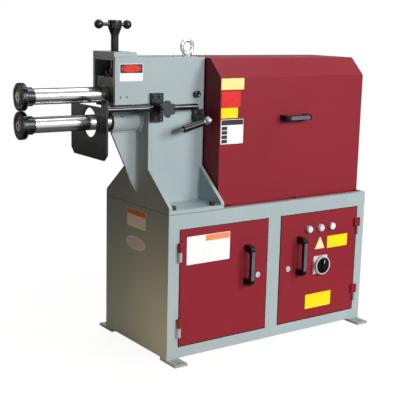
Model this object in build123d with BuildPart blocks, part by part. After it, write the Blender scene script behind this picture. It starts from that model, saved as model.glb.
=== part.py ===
from build123d import *
import os
from math import cos, radians, sin

os.makedirs("parts", exist_ok=True)

# Motor-driven bead roller on a floor cabinet. Millimetres, +Z up.
# +X runs along the machine from the rolls to the hood, -Y is the side with the doors.
# The origin is at floor level, at the centre of the four anchor holes.

# ---- driving dimensions ------------------------------------------------------------
cabinet_length = 1050.0
cabinet_depth = 486.0
cabinet_top = 600.0
cabinet_bottom = 14.0
cabinet_sheet = 3.0

foot_thickness = 10.0
foot_width = 60.0
foot_reach = 60.0
foot_tuck = 50.0
anchor_inset = 29.0
anchor_outset = 38.0
anchor_radius = 7.0

head_length = 262.0
arm_overhang = 150.0
column_width = 172.0
base_thickness = 16.0
end_thickness = 16.0
side_thickness = 15.0
lid_thickness = 12.0
cap_thickness = 19.0
cap_length = 95.0
cap_bevel = 9.0
cap_overhang = 3.0
cap_inset = 4.0
flare_top = 757.0
flare_edge = 12.0
arm_bottom = 1014.0
head_top = 1193.0

lower_axis_z = 943.0
centre_distance = 105.0
shaft_diameter = 60.0
rear_journal_diameter = 45.0
gear_seat_diameter = 55.0
nose_diameter = 40.0
throat_depth = 448.0
roll_thickness = 20.0
roll_hub_length = 36.0
roll_hub_diameter = 70.0
roll_gap = 0.6
roll_teeth = 44
running_clearance = 0.05
moving_gap = 0.3

gear_module = 5.0
gear_teeth = 21

lift_height = 18.0
screw_diameter = 30.0
screw_reach = 103.0
pivot_reach = 415.0

hood_start = 267.0
hood_inset = 5.0
hood_front = 50.0
hood_rear = 393.0
hood_fold = 1117.0
hood_ridge = 125.0
hood_top = 1190.0
hood_sheet = 2.0
hood_lip = 26.0

left_stile = 55.0
right_stile = 47.0
centre_post = 74.0
door_bottom = 63.0
door_top = 536.0
door_gap = 2.5
door_depth = 18.0
door_proud = 1.5
door_sheet = 2.0

# ---- places worked out from the sizes ----------------------------------------------
left = -cabinet_length / 2
right = cabinet_length / 2
front = -cabinet_depth / 2
rear = cabinet_depth / 2
door_width = (cabinet_length - left_stile - right_stile - centre_post) / 2
door_left_start = left_stile
door_left_end = door_left_start + door_width
door_right_start = door_left_end + centre_post
door_right_end = door_right_start + door_width
hood_end = cabinet_length - hood_inset
upper_axis_z = lower_axis_z + centre_distance
shaft_r = shaft_diameter / 2
base_top = cabinet_top + base_thickness
lid_bottom = head_top - lid_thickness
column_front = -column_width / 2
column_rear = column_width / 2
arm_end = left - arm_overhang
head_end = left + head_length
shaft_shoulder = left - throat_depth
roll_back = shaft_shoulder - roll_hub_length
roll_face = roll_back - roll_thickness
pivot_x = left + pivot_reach
screw_x = left - screw_reach
bolt_radius = 8.0
bolt_head_radius = 12.0
bolt_head_height = 15.0
base_bolt_x = (left + end_thickness + 16.0, left + 218.0)
base_bolt_y = rear - 21.0
pedestal_start = pivot_x - 70.0
pedestal_end = left + 800.0
pedestal_bolt_x = (pivot_x - 50.0, pivot_x + 50.0, pedestal_end - 20.0)
pedestal_bolt_y = 90.0
pedestal_foot_thickness = 20.0
along_x = (0, 90, 0)
along_y = (90, 0, 0)


def block(x0, x1, y0, y1, z0, z1, mode=Mode.ADD):
    """Straight block between two opposite corners."""
    with Locations(((x0 + x1) / 2, (y0 + y1) / 2, (z0 + z1) / 2)):
        Box(x1 - x0, y1 - y0, z1 - z0, mode=mode)


def bar_x(x0, x1, y, z, radius, mode=Mode.ADD):
    """Round bar, or a round hole, along X."""
    with Locations(((x0 + x1) / 2, y, z)):
        Cylinder(radius, x1 - x0, rotation=along_x, mode=mode)


def bar_y(y0, y1, x, z, radius, mode=Mode.ADD):
    """Round bar, or a round hole, along Y."""
    with Locations((x, (y0 + y1) / 2, z)):
        Cylinder(radius, y1 - y0, rotation=along_y, mode=mode)


def bar_z(z0, z1, x, y, radius, mode=Mode.ADD):
    """Round bar, or a round hole, along Z."""
    with Locations((x, y, (z0 + z1) / 2)):
        Cylinder(radius, z1 - z0, mode=mode)


def keep(piece, name):
    """Label a finished piece and write its STEP file."""
    piece.part.label = name
    export_step(piece.part, f"parts/{name}.step")


# ---- cabinet -----------------------------------------------------------------------
post_start = door_left_end + door_gap
post_end = door_right_start - door_gap
lip_depth = 17.0
hinge_radius = 8.0
hinge_pin_radius = 4.0
hinge_standoff = 9.0
hinge_offset = 6.0
knuckle_height = 37.0
hinge_left_x = left + door_left_start - hinge_offset
hinge_right_x = left + door_right_end + hinge_offset
hinge_y = front - hinge_standoff
hinge_seams = (141.0, 450.0)
gland_x = right - 150.0
gland_z = 120.0
gland_thread_radius = 12.5
cable_slot = (pedestal_end, pedestal_end + 60.0)

left_inner = left + cabinet_sheet
right_inner = right - cabinet_sheet
front_inner = front + cabinet_sheet
rear_inner = rear - cabinet_sheet
top_inner = cabinet_top - cabinet_sheet
bottom_inner = cabinet_bottom + cabinet_sheet
divider_x = left + (post_start + post_end) / 2
doorway_bottom = door_bottom - door_gap
doorway_top = door_top + door_gap
cable_slot_half = 60.0


def sheet(x0, x1, y0, y1, z0, z1):
    """One flat sheet of the welded cabinet."""
    with BuildPart() as flat:
        block(x0, x1, y0, y1, z0, z1)
    return flat.part


with BuildPart() as front_sheet:
    block(left, right, front, front_inner, cabinet_bottom, cabinet_top)
    for start, end in ((door_left_start, door_left_end), (door_right_start, door_right_end)):
        block(left + start - door_gap, left + end + door_gap, front - 1, front_inner + 1,
              doorway_bottom, doorway_top, mode=Mode.SUBTRACT)
    block(left + post_start, left + post_start + cabinet_sheet, front_inner, front + lip_depth,
          doorway_bottom, doorway_top)
    block(left + post_end - cabinet_sheet, left + post_end, front_inner, front + lip_depth,
          doorway_bottom, doorway_top)
    for hinge_x, side in ((hinge_left_x, -1), (hinge_right_x, 1)):
        for seam in hinge_seams:
            low = seam - knuckle_height - 1.0
            high = seam - 1.0
            bar_z(low, high, hinge_x, hinge_y, hinge_radius)
            block(min(hinge_x, hinge_x + side * hinge_radius), max(hinge_x, hinge_x + side * hinge_radius),
                  hinge_y, front, low, high)
            bar_z(low, high, hinge_x, hinge_y, hinge_pin_radius, mode=Mode.SUBTRACT)

with BuildPart() as top_sheet:
    block(left_inner, right_inner, front_inner, rear_inner, top_inner, cabinet_top)
    block(cable_slot[0], cable_slot[1], -cable_slot_half, cable_slot_half, top_inner - 1, cabinet_top + 1,
          mode=Mode.SUBTRACT)
    for side in (-1, 1):
        for x in base_bolt_x:
            bar_z(top_inner - 1, cabinet_top + 1, x, side * base_bolt_y, bolt_radius, mode=Mode.SUBTRACT)
        for x in pedestal_bolt_x:
            bar_z(top_inner - 1, cabinet_top + 1, x, side * pedestal_bolt_y, bolt_radius, mode=Mode.SUBTRACT)

with BuildPart() as rear_sheet:
    block(left_inner, right_inner, rear_inner, rear, cabinet_bottom, cabinet_top)
    bar_y(rear_inner - 1, rear + 1, gland_x, gland_z, gland_thread_radius, mode=Mode.SUBTRACT)

cabinet_sheets = [
    front_sheet.part,
    top_sheet.part,
    rear_sheet.part,
    sheet(left, left_inner, front_inner, rear, cabinet_bottom, cabinet_top),
    sheet(right_inner, right, front_inner, rear, cabinet_bottom, cabinet_top),
    sheet(left_inner, right_inner, front_inner, rear_inner, cabinet_bottom, bottom_inner),
    sheet(divider_x - cabinet_sheet / 2, divider_x + cabinet_sheet / 2, front_inner, rear_inner,
          bottom_inner, top_inner),
]
cabinet_shell = Compound([flat.solid() for flat in cabinet_sheets])
cabinet_shell.label = "cabinet_shell"
export_step(cabinet_shell, "parts/cabinet_shell.step")

with BuildPart() as foot_plates:
    for x_out, x_in in ((left, left + foot_width), (right, right - foot_width)):
        for y_face, side in ((front, -1), (rear, 1)):
            y_out = y_face + side * foot_reach
            y_in = y_face - side * foot_tuck
            block(min(x_out, x_in), max(x_out, x_in), min(y_out, y_in), max(y_out, y_in),
                  0, foot_thickness)
            block(min(x_out, x_in), max(x_out, x_in), min(y_face, y_in), max(y_face, y_in),
                  foot_thickness, cabinet_bottom)
    anchor_x = right - anchor_inset
    anchor_y = rear + anchor_outset
    with Locations((0, 0, foot_thickness / 2)):
        with GridLocations(2 * anchor_x, 2 * anchor_y, 2, 2):
            Cylinder(anchor_radius, 2 * foot_thickness, mode=Mode.SUBTRACT)
keep(foot_plates, "foot_plates")

with BuildPart() as hinge_pins:
    for hinge_x in (hinge_left_x, hinge_right_x):
        for seam in hinge_seams:
            bar_z(seam - knuckle_height - 1.0, seam + knuckle_height - 4.0, hinge_x, hinge_y,
                  hinge_pin_radius)
keep(hinge_pins, "hinge_pins")

with BuildPart() as cable_gland:
    bar_y(rear - 12, rear + 8, gland_x, gland_z, gland_thread_radius)
    with BuildSketch(Plane.XZ.offset(-rear - 8)):
        with Locations((gland_x, gland_z)):
            RegularPolygon(16.5, 6)
    extrude(amount=8)
    with BuildSketch(Plane.XZ.offset(-rear_inner)):
        with Locations((gland_x, gland_z)):
            RegularPolygon(16.5, 6)
    extrude(amount=6)
    bar_y(rear + 8, rear + 26, gland_x, gland_z, 14.0)
    bar_y(rear - 14, rear + 28, gland_x, gland_z, 8.0, mode=Mode.SUBTRACT)
keep(cable_gland, "cable_gland")

panel_standoff = 18.0
panel_sheet = 2.0
panel_start = left + door_right_start + 24.0
panel_end = right - 80.0
panel_bottom = 90.0
panel_top = 520.0
standoff_radius = 8.0
standoff_inset = 10.0
panel_back = rear_inner - panel_standoff
panel_face = panel_back - panel_sheet
with BuildPart() as mounting_panel:
    block(panel_start, panel_end, panel_face, panel_back, panel_bottom, panel_top)
    for x in (panel_start + standoff_inset, panel_end - standoff_inset):
        for z in (panel_bottom + standoff_inset, panel_top - standoff_inset):
            bar_y(panel_back, rear_inner, x, z, standoff_radius)
keep(mounting_panel, "mounting_panel")

gear_x = panel_start + 50.0
contactor_pitch = 60.0
contactor_width = 45.0
contactor_height = 80.0
contactor_depth = 80.0
contactor_bottom = panel_top - 140.0
contactor_nose = 12.0
contactor_nose_inset = 20.0
supply_width = 100.0
supply_depth = 90.0
supply_bottom = panel_bottom + 40.0
supply_nose = 12.0
supply_nose_inset = 20.0
with BuildPart() as control_gear:
    for slot in range(3):
        x = gear_x + slot * contactor_pitch
        contactor_face = panel_face - contactor_depth
        block(x, x + contactor_width, contactor_face, panel_face, contactor_bottom,
              contactor_bottom + contactor_height)
        block(x, x + contactor_width, contactor_face - contactor_nose, contactor_face,
              contactor_bottom + contactor_nose_inset,
              contactor_bottom + contactor_height - contactor_nose_inset)
    supply_face = panel_face - supply_depth
    block(gear_x, gear_x + supply_width, supply_face, panel_face, supply_bottom,
          supply_bottom + supply_width)
    block(gear_x + supply_nose_inset, gear_x + supply_width - supply_nose_inset,
          supply_face - supply_nose, supply_face, supply_bottom + supply_nose_inset,
          supply_bottom + supply_width - supply_nose_inset)
keep(control_gear, "control_gear")

# ---- doors, latches and handles ----------------------------------------------------
door_face = front - door_proud
door_back = door_face + door_depth
button_z = 466.0
right_door_x = left + door_right_start
button_pitch = 67.0
button_places = (right_door_x + 151.0, right_door_x + 151.0 + button_pitch,
                 right_door_x + 151.0 + 2 * button_pitch)
button_hole_radius = 11.2
switch_x = right_door_x + 226.0
switch_z = 299.0
switch_hole_radius = 15.0
latch_z = 303.0
latch_body_radius = 9.0
latch_places = {"left": left + door_left_end - 48.0, "right": right_door_x + 44.0}
handle_places = {"left": left + door_left_end - 110.0, "right": right_door_x + 100.0}
handle_z = 356.0
handle_length = 168.0
hood_handle_length = 146.0
handle_width = 22.0
handle_standoff = 48.0
handle_foot = 30.0
handle_foot_splay = 6.0
handle_grip_depth = 13.0
handle_corner_radius = 18.0
handle_inner_radius = 8.0
handle_edge_radius = 3.0
door_spans = {
    "left": (left + door_left_start, left + door_left_end, hinge_left_x),
    "right": (left + door_right_start, left + door_right_end, hinge_right_x),
}

for side, (door_start, door_end, hinge_x) in door_spans.items():
    with BuildPart() as door:
        block(door_start, door_end, door_face, door_back, door_bottom, door_top)
        block(door_start + door_sheet, door_end - door_sheet, door_face + door_sheet, door_back + 1,
              door_bottom + door_sheet, door_top - door_sheet, mode=Mode.SUBTRACT)
        for seam in hinge_seams:
            leaf_end = door_start + 16 if side == "left" else door_end - 16
            bar_z(seam, seam + knuckle_height, hinge_x, hinge_y, hinge_radius)
            block(min(hinge_x, leaf_end), max(hinge_x, leaf_end), hinge_y - 3.0, door_face,
                  seam, seam + knuckle_height)
            bar_z(seam - 1, seam + knuckle_height - 3.0, hinge_x, hinge_y,
                  hinge_pin_radius + running_clearance, mode=Mode.SUBTRACT)
        bar_y(door_face - 1, door_face + 2 * door_sheet, latch_places[side], latch_z,
              latch_body_radius + running_clearance, mode=Mode.SUBTRACT)
        if side == "right":
            for x in button_places:
                bar_y(door_face - 1, door_face + 2 * door_sheet, x, button_z, button_hole_radius,
                      mode=Mode.SUBTRACT)
            bar_y(door_face - 1, door_face + 2 * door_sheet, switch_x, switch_z,
                  switch_hole_radius, mode=Mode.SUBTRACT)
    keep(door, f"door_{side}")

tongue_length = 62.0
tongue_y = front + lip_depth + 1.5
for side, latch_x in latch_places.items():
    with BuildPart() as latch:
        bar_y(door_face - 4, door_face, latch_x, latch_z, 12.0)
        bar_y(door_face, tongue_y, latch_x, latch_z, latch_body_radius)
        block(latch_x - 9, latch_x + 9, tongue_y, tongue_y + 3, latch_z - tongue_length, latch_z + 10)
        block(latch_x - 1.2, latch_x + 1.2, door_face - 5, door_face - 1, latch_z - 4, latch_z + 4,
              mode=Mode.SUBTRACT)
    keep(latch, f"latch_{side}")


def bridge_handle(side_plane, panel_offset, length):
    """Moulded bridge handle standing on a panel, drawn in side view and extruded across its width."""
    tip = panel_offset + handle_standoff
    grip = tip - handle_grip_depth
    half = length / 2
    inner = half - handle_foot
    with BuildPart() as handle:
        with BuildSketch(side_plane) as profile:
            with BuildLine():
                Polyline(
                    (-half, panel_offset), (-half, tip), (half, tip), (half, panel_offset),
                    (inner + handle_foot_splay, panel_offset), (inner, grip), (-inner, grip),
                    (-inner - handle_foot_splay, panel_offset), close=True)
            make_face()
            fillet(profile.vertices().group_by(Axis.Y)[1], radius=handle_inner_radius)
            fillet(profile.vertices().group_by(Axis.Y)[-1], radius=handle_corner_radius)
        extrude(amount=handle_width)
        fillet(handle.faces().sort_by(Axis(side_plane.origin, side_plane.y_dir))[-1].edges(),
               radius=handle_edge_radius)
    return handle


for side, handle_x in handle_places.items():
    upright = Plane(origin=(handle_x - handle_width / 2, 0, handle_z), x_dir=(0, 0, 1), z_dir=(1, 0, 0))
    keep(bridge_handle(upright, -door_face, handle_length), f"door_handle_{side}")

# ---- control buttons and main switch -----------------------------------------------
bezel_radius = 16.0
bezel_depth = 12.0
bezel_floor = 1.5
button_radius = 13.5
button_height = 12.0
button_proud = 6.0
button_stem_radius = 8.0
button_body_radius = 11.0
button_body_end = front + 22.0
contact_block_end = front + 52.0
button_stop_y = front + 14.0
lens_height = 4.0
bezel_face = door_face - bezel_depth

with BuildPart() as button_bodies:
    for x in button_places:
        bar_y(bezel_face, door_face, x, button_z, bezel_radius)
        bar_y(door_face, button_body_end, x, button_z, button_body_radius)
        block(x - 15, x + 15, button_body_end, contact_block_end, button_z - 20, button_z + 20)
    for x in button_places[:2]:
        bar_y(bezel_face - 1, door_face - bezel_floor, x, button_z, button_radius + moving_gap,
              mode=Mode.SUBTRACT)
        bar_y(door_face - 2 * bezel_floor, button_body_end, x, button_z,
              button_stem_radius + moving_gap, mode=Mode.SUBTRACT)
keep(button_bodies, "button_bodies")

button_face = bezel_face - button_proud
for name, x in zip(("start_button", "stop_button"), button_places):
    with BuildPart() as button:
        bar_y(button_face, button_face + button_height, x, button_z, button_radius)
        bar_y(button_face + button_height, button_stop_y, x, button_z, button_stem_radius)
        fillet(button.faces().sort_by(Axis.Y)[0].edges(), radius=1.5)
    keep(button, name)

with BuildPart() as pilot_lamp:
    bar_y(bezel_face - lens_height, bezel_face, button_places[2], button_z, button_radius)
    fillet(pilot_lamp.faces().sort_by(Axis.Y)[0].edges(), radius=3)
keep(pilot_lamp, "pilot_lamp")

switch_plate_width = 78.0
switch_plate_height = 80.0
switch_plate_thickness = 6.0
switch_collar_radius = 40.0
switch_recess_radius = 36.0
switch_recess_depth = 10.0
switch_spindle_radius = 4.0
plate_face = door_face - switch_plate_thickness
collar_face = door_face - 25.0
recess_floor = collar_face + switch_recess_depth

with BuildPart() as switch_plate:
    block(switch_x - switch_plate_width / 2, switch_x + switch_plate_width / 2, plate_face, door_face,
          switch_z - switch_plate_height / 2, switch_z + switch_plate_height / 2)
    bar_y(collar_face, plate_face, switch_x, switch_z, switch_collar_radius)
    bar_y(door_face, front + 12, switch_x, switch_z, switch_hole_radius - 0.2)
    block(switch_x - 30, switch_x + 30, front + 12, front + 70, switch_z - 30, switch_z + 30)
    bar_y(collar_face - 1, recess_floor, switch_x, switch_z, switch_recess_radius, mode=Mode.SUBTRACT)
    bar_y(collar_face - 1, front + 40, switch_x, switch_z,
          switch_spindle_radius + running_clearance, mode=Mode.SUBTRACT)
keep(switch_plate, "switch_plate")

knob_radius = 35.0
knob_back = recess_floor - moving_gap
knob_face = collar_face
knob_bar_height = 8.0
knob_bar_half_width = 9.0
knob_bar_half_length = 30.0
with BuildPart() as switch_knob:
    bar_y(knob_face, knob_back, switch_x, switch_z, knob_radius)
    block(switch_x - knob_bar_half_width, switch_x + knob_bar_half_width,
          knob_face - knob_bar_height, knob_face,
          switch_z - knob_bar_half_length, switch_z + knob_bar_half_length)
    fillet(switch_knob.faces().sort_by(Axis.Y)[0].edges(), radius=3)
    bar_y(knob_back, front + 38, switch_x, switch_z, switch_spindle_radius)
keep(switch_knob, "switch_knob")

# ---- head frame --------------------------------------------------------------------
shaft_hole_radius = shaft_r + 3.0
tube_outer_radius = 42.0
tube_start = left - 126.0
bush_outer_radius = 36.0
ring_outer_radius = 42.0
lever_x = left + 232.0
lever_z = lower_axis_z + 4.0
lever_shaft_radius = 9.0
side_bolt_z = 1047.0
head_side_bolt_x = left + 222.0
accessory_z = 1042.5
accessory_x = (left - 126.0, left - 98.0)
accessory_radius = 3.4

with BuildPart() as head_base_plate:
    block(left, head_end, front, rear, cabinet_top, base_top)
    with BuildSketch(Plane.XY.offset(base_top)):
        for x in base_bolt_x:
            with Locations((x, base_bolt_y), (x, -base_bolt_y)):
                Circle(bolt_radius + 0.5)
    extrude(amount=-base_thickness, mode=Mode.SUBTRACT)
    block(left + 40, head_end - 40, -50, 50, cabinet_top - 1, base_top + 1, mode=Mode.SUBTRACT)
keep(head_base_plate, "head_base_plate")

for side, plate_x, plate_top in (("left", left, arm_bottom), ("right", head_end - end_thickness, lid_bottom)):
    with BuildPart() as end_plate:
        with BuildSketch(Plane.YZ.offset(plate_x)):
            with BuildLine():
                Polyline(
                    (front, base_top), (front, base_top + flare_edge), (column_front, flare_top),
                    (column_front, plate_top), (column_rear, plate_top), (column_rear, flare_top),
                    (rear, base_top + flare_edge), (rear, base_top), close=True)
            make_face()
        extrude(amount=end_thickness)
        if side == "left":
            bar_x(plate_x - 1, plate_x + end_thickness + 1, 0, lower_axis_z, tube_outer_radius,
                  mode=Mode.SUBTRACT)
        else:
            bar_x(plate_x - 1, plate_x + end_thickness + 1, 0, lower_axis_z, ring_outer_radius + 5,
                  mode=Mode.SUBTRACT)
            with BuildSketch(Plane.YZ.offset(plate_x)):
                with Locations((0, upper_axis_z + lift_height / 4)):
                    SlotOverall(2 * shaft_hole_radius + lift_height / 2, 2 * shaft_hole_radius, rotation=90)
            extrude(amount=end_thickness, mode=Mode.SUBTRACT)
    keep(end_plate, f"head_end_plate_{side}")

with BuildPart() as head_side_plates:
    for y0 in (column_front, column_rear - side_thickness):
        y1 = y0 + side_thickness
        block(arm_end, head_end - end_thickness, y0, y1, arm_bottom, lid_bottom)
        block(left + end_thickness, head_end - end_thickness, y0, y1, base_top, arm_bottom)
    bar_y(column_front - 1, column_front + side_thickness + 1, lever_x, lever_z,
          lever_shaft_radius + 1.0, mode=Mode.SUBTRACT)
    for x in accessory_x:
        bar_y(column_front - 1, column_front + side_thickness + 1, x, accessory_z, accessory_radius,
              mode=Mode.SUBTRACT)
    bar_y(column_front - 1, column_front + side_thickness + 1, head_side_bolt_x, side_bolt_z,
          bolt_radius, mode=Mode.SUBTRACT)
keep(head_side_plates, "head_side_plates")

eye_x = left + 234.0
eye_thread_radius = 8.0
nipple_places = ((left + 120.0, column_front + 8.0), (head_end - 8.0, column_front + 8.0))
nipple_radius = 4.0
screw_hole_radius = screw_diameter / 2 + 0.1

with BuildPart() as head_top_plate:
    block(arm_end, head_end, column_front, column_rear, lid_bottom, head_top)
    bar_z(lid_bottom - 1, head_top + 1, screw_x, 0, screw_hole_radius + 1, mode=Mode.SUBTRACT)
    bar_z(lid_bottom - 1, head_top + 1, eye_x, 0, eye_thread_radius, mode=Mode.SUBTRACT)
    for x, y in nipple_places:
        bar_z(head_top - 6, head_top + 1, x, y, nipple_radius - 1, mode=Mode.SUBTRACT)
keep(head_top_plate, "head_top_plate")

cap_end = arm_end + cap_length
with BuildPart() as top_cap_plate:
    with BuildSketch(Plane.XZ):
        with BuildLine():
            Polyline(
                (arm_end - cap_overhang, head_top), (arm_end - cap_overhang, head_top + cap_thickness),
                (cap_end, head_top + cap_thickness), (cap_end + cap_bevel, head_top), close=True)
        make_face()
    extrude(amount=column_width / 2 - cap_inset, both=True)
    bar_z(head_top - 1, head_top + cap_thickness + 1, screw_x, 0, screw_hole_radius, mode=Mode.SUBTRACT)
keep(top_cap_plate, "top_cap_plate")

housing_bore_radius = bush_outer_radius
rib_thickness = 12.0
front_bush_end = tube_start + 60.0
back_bush_start = left - 16.0
journal_bore_radius = shaft_r + running_clearance
oil_hole_radius = 4.0
oil_hole_lean = radians(30)
oil_hole = Plane(origin=(tube_start + 36.0, 0, lower_axis_z), x_dir=(1, 0, 0),
                 z_dir=(0, -cos(oil_hole_lean), sin(oil_hole_lean)))
rib_top_inset = 9.0
rib_top_drop = 48.0
rib_mid_reach = 53.0
rib_low_reach = 33.0
rib_low_z = 703.0
rib_toe = 4.0
rib_bottom = 653.0

with BuildPart() as lower_bearing_housing:
    bar_x(tube_start, left + end_thickness, 0, lower_axis_z, tube_outer_radius)
    with BuildSketch(Plane.XZ):
        with BuildLine():
            Polyline(
                (left, lower_axis_z - 20), (tube_start + rib_top_inset, lower_axis_z - 20),
                (tube_start + rib_top_inset, lower_axis_z - rib_top_drop),
                (left - rib_mid_reach, flare_top), (left - rib_low_reach, rib_low_z),
                (left - rib_toe, rib_bottom), (left, rib_bottom), close=True)
        make_face()
    extrude(amount=rib_thickness / 2, both=True)
    bar_x(tube_start - 1, left + end_thickness + 1, 0, lower_axis_z, housing_bore_radius,
          mode=Mode.SUBTRACT)
    with BuildSketch(oil_hole):
        Circle(oil_hole_radius)
    extrude(amount=tube_outer_radius + 1, mode=Mode.SUBTRACT)
keep(lower_bearing_housing, "lower_bearing_housing")

rear_bush_radius = 28.0
rear_journal_r = rear_journal_diameter / 2
pedestal_plate_half = 15.0

with BuildPart() as lower_bushes:
    for start, end in ((tube_start, front_bush_end), (back_bush_start, left + end_thickness)):
        bar_x(start, end, 0, lower_axis_z, bush_outer_radius)
        bar_x(start - 1, end + 1, 0, lower_axis_z, journal_bore_radius, mode=Mode.SUBTRACT)
    with BuildSketch(oil_hole):
        Circle(oil_hole_radius)
    extrude(amount=bush_outer_radius + 1, mode=Mode.SUBTRACT)
    bar_x(pivot_x - pedestal_plate_half, pivot_x + pedestal_plate_half, 0, lower_axis_z, rear_bush_radius)
    bar_x(pivot_x - pedestal_plate_half - 1, pivot_x + pedestal_plate_half + 1, 0, lower_axis_z,
          rear_journal_r + running_clearance, mode=Mode.SUBTRACT)
keep(lower_bushes, "lower_bushes")

# ---- head fasteners and fittings ---------------------------------------------------
socket_radius = 6.5


def cap_bolt(x, y, seat_z):
    """Socket head bolt down through a plate whose upper face is at seat_z, into the cabinet top."""
    bar_z(cabinet_top - 20, seat_z, x, y, bolt_radius)
    bar_z(seat_z, seat_z + bolt_head_height, x, y, bolt_head_radius)
    bar_z(seat_z + 6, seat_z + bolt_head_height + 1, x, y, socket_radius, mode=Mode.SUBTRACT)


with BuildPart() as cap_bolts:
    for x in base_bolt_x:
        for y in (-base_bolt_y, base_bolt_y):
            cap_bolt(x, y, base_top)
    for x in pedestal_bolt_x:
        for y in (-pedestal_bolt_y, pedestal_bolt_y):
            cap_bolt(x, y, cabinet_top + pedestal_foot_thickness)
    bar_y(column_front - 16, column_front, head_side_bolt_x, side_bolt_z, bolt_head_radius + 1.5)
    bar_y(column_front, column_front + side_thickness, head_side_bolt_x, side_bolt_z, bolt_radius)
    bar_y(column_front - 17, column_front - 8, head_side_bolt_x, side_bolt_z, socket_radius,
          mode=Mode.SUBTRACT)
keep(cap_bolts, "cap_bolts")

eye_ring_major = 25.5
eye_ring_minor = 7.3
eye_collar_height = 10.0
eye_ring_z = head_top + 38.0
with BuildPart() as lifting_eye:
    bar_z(head_top - 26, head_top, eye_x, 0, eye_thread_radius)
    bar_z(head_top, head_top + eye_collar_height, eye_x, 0, 19.0)
    with Locations((eye_x, 0, eye_ring_z)):
        Torus(eye_ring_major, eye_ring_minor, rotation=along_y)
keep(lifting_eye, "lifting_eye")

with BuildPart() as grease_nipples:
    for x, y in nipple_places:
        bar_z(head_top - 6, head_top, x, y, nipple_radius - 1)
        bar_z(head_top, head_top + 4, x, y, nipple_radius)
        bar_z(head_top + 4, head_top + 9, x, y, nipple_radius - 1.5)
keep(grease_nipples, "grease_nipples")

# ---- upper arm: bearing block, bush and tilting rear bearing -----------------------
block_start = screw_x - 42.0
block_end = screw_x + 42.0
block_half_width = column_rear - side_thickness - moving_gap
block_bottom = upper_axis_z - bush_outer_radius - 8.0
block_top = upper_axis_z + 70.0
foot_gap = 1.5
foot_flange_height = 8.0
foot_flange_radius = 30.0
foot_bottom = block_top + foot_gap
hook_bottom = foot_bottom + foot_flange_height + foot_gap
sphere_radius = 38.0

with BuildPart() as upper_bearing_block:
    block(block_start, block_end, -block_half_width, block_half_width, block_bottom, block_top)
    for side in (-1, 1):
        hook_out = side * 46.0
        hook_in = side * 32.0
        lip_in = side * 24.0
        block(screw_x - 20, screw_x + 20, min(hook_out, hook_in), max(hook_out, hook_in), block_top,
              hook_bottom + 8)
        block(screw_x - 20, screw_x + 20, min(hook_out, lip_in), max(hook_out, lip_in), hook_bottom,
              hook_bottom + 8)
    bar_x(block_start - 1, block_end + 1, 0, upper_axis_z, bush_outer_radius, mode=Mode.SUBTRACT)
keep(upper_bearing_block, "upper_bearing_block")

with BuildPart() as upper_front_bush:
    bar_x(block_start - 3, block_end, 0, upper_axis_z, bush_outer_radius)
    bar_x(block_start - 4, block_end + 1, 0, upper_axis_z, journal_bore_radius, mode=Mode.SUBTRACT)
keep(upper_front_bush, "upper_front_bush")

with BuildPart() as tilting_bearing:
    with Locations((pivot_x, 0, upper_axis_z)):
        Sphere(sphere_radius)
    block(pivot_x - 60, pivot_x - 18, -60, 60, upper_axis_z - 60, upper_axis_z + 60, mode=Mode.SUBTRACT)
    block(pivot_x + 18, pivot_x + 60, -60, 60, upper_axis_z - 60, upper_axis_z + 60, mode=Mode.SUBTRACT)
    bar_x(pivot_x - 20, pivot_x + 20, 0, upper_axis_z, rear_journal_r + running_clearance,
          mode=Mode.SUBTRACT)
keep(tilting_bearing, "tilting_bearing")

# ---- shafts, rolls and gears -------------------------------------------------------
upper_gear_start = left + 295.0
upper_gear_end = left + 345.0
lower_gear_start = left + 302.0
lower_gear_end = left + 338.0
gear_seat_r = gear_seat_diameter / 2
upper_shaft_end = pivot_x + 34.0
nose_r = nose_diameter / 2
nose_end = roll_face + 7.0
roll_screw_radius = 6.0
groove_radius = 24.0
groove_half = 10.0 + running_clearance
lower_shaft_end = left + 505.0

with BuildPart() as upper_shaft:
    bar_x(shaft_shoulder, upper_gear_start - 5, 0, upper_axis_z, shaft_r)
    bar_x(upper_gear_start - 5, upper_gear_end + 5, 0, upper_axis_z, gear_seat_r)
    bar_x(upper_gear_end + 5, upper_shaft_end, 0, upper_axis_z, rear_journal_r)
    bar_x(nose_end, shaft_shoulder, 0, upper_axis_z, nose_r)
    bar_x(nose_end - 1, nose_end + 30, 0, upper_axis_z, roll_screw_radius, mode=Mode.SUBTRACT)
keep(upper_shaft, "upper_shaft")

with BuildPart() as lower_shaft:
    bar_x(shaft_shoulder, lower_gear_start - 5, 0, lower_axis_z, shaft_r)
    bar_x(lower_gear_start - 5, lower_gear_end + 7, 0, lower_axis_z, gear_seat_r)
    bar_x(lower_gear_end + 7, lower_shaft_end, 0, lower_axis_z, rear_journal_r)
    bar_x(nose_end, shaft_shoulder, 0, lower_axis_z, nose_r)
    bar_x(nose_end - 1, nose_end + 30, 0, lower_axis_z, roll_screw_radius, mode=Mode.SUBTRACT)
    with BuildSketch(Plane.YZ.offset(lever_x - groove_half)):
        with Locations((0, lower_axis_z)):
            Circle(shaft_r + 1)
            Circle(groove_radius, mode=Mode.SUBTRACT)
    extrude(amount=2 * groove_half, mode=Mode.SUBTRACT)
keep(lower_shaft, "lower_shaft")

roll_radius = (centre_distance - roll_gap) / 2
tooth_depth = 3.5
roll_recess_radius = 40.0
roll_recess_depth = 4.0
washer_radius = 17.0
washer_thickness = 4.0

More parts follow.
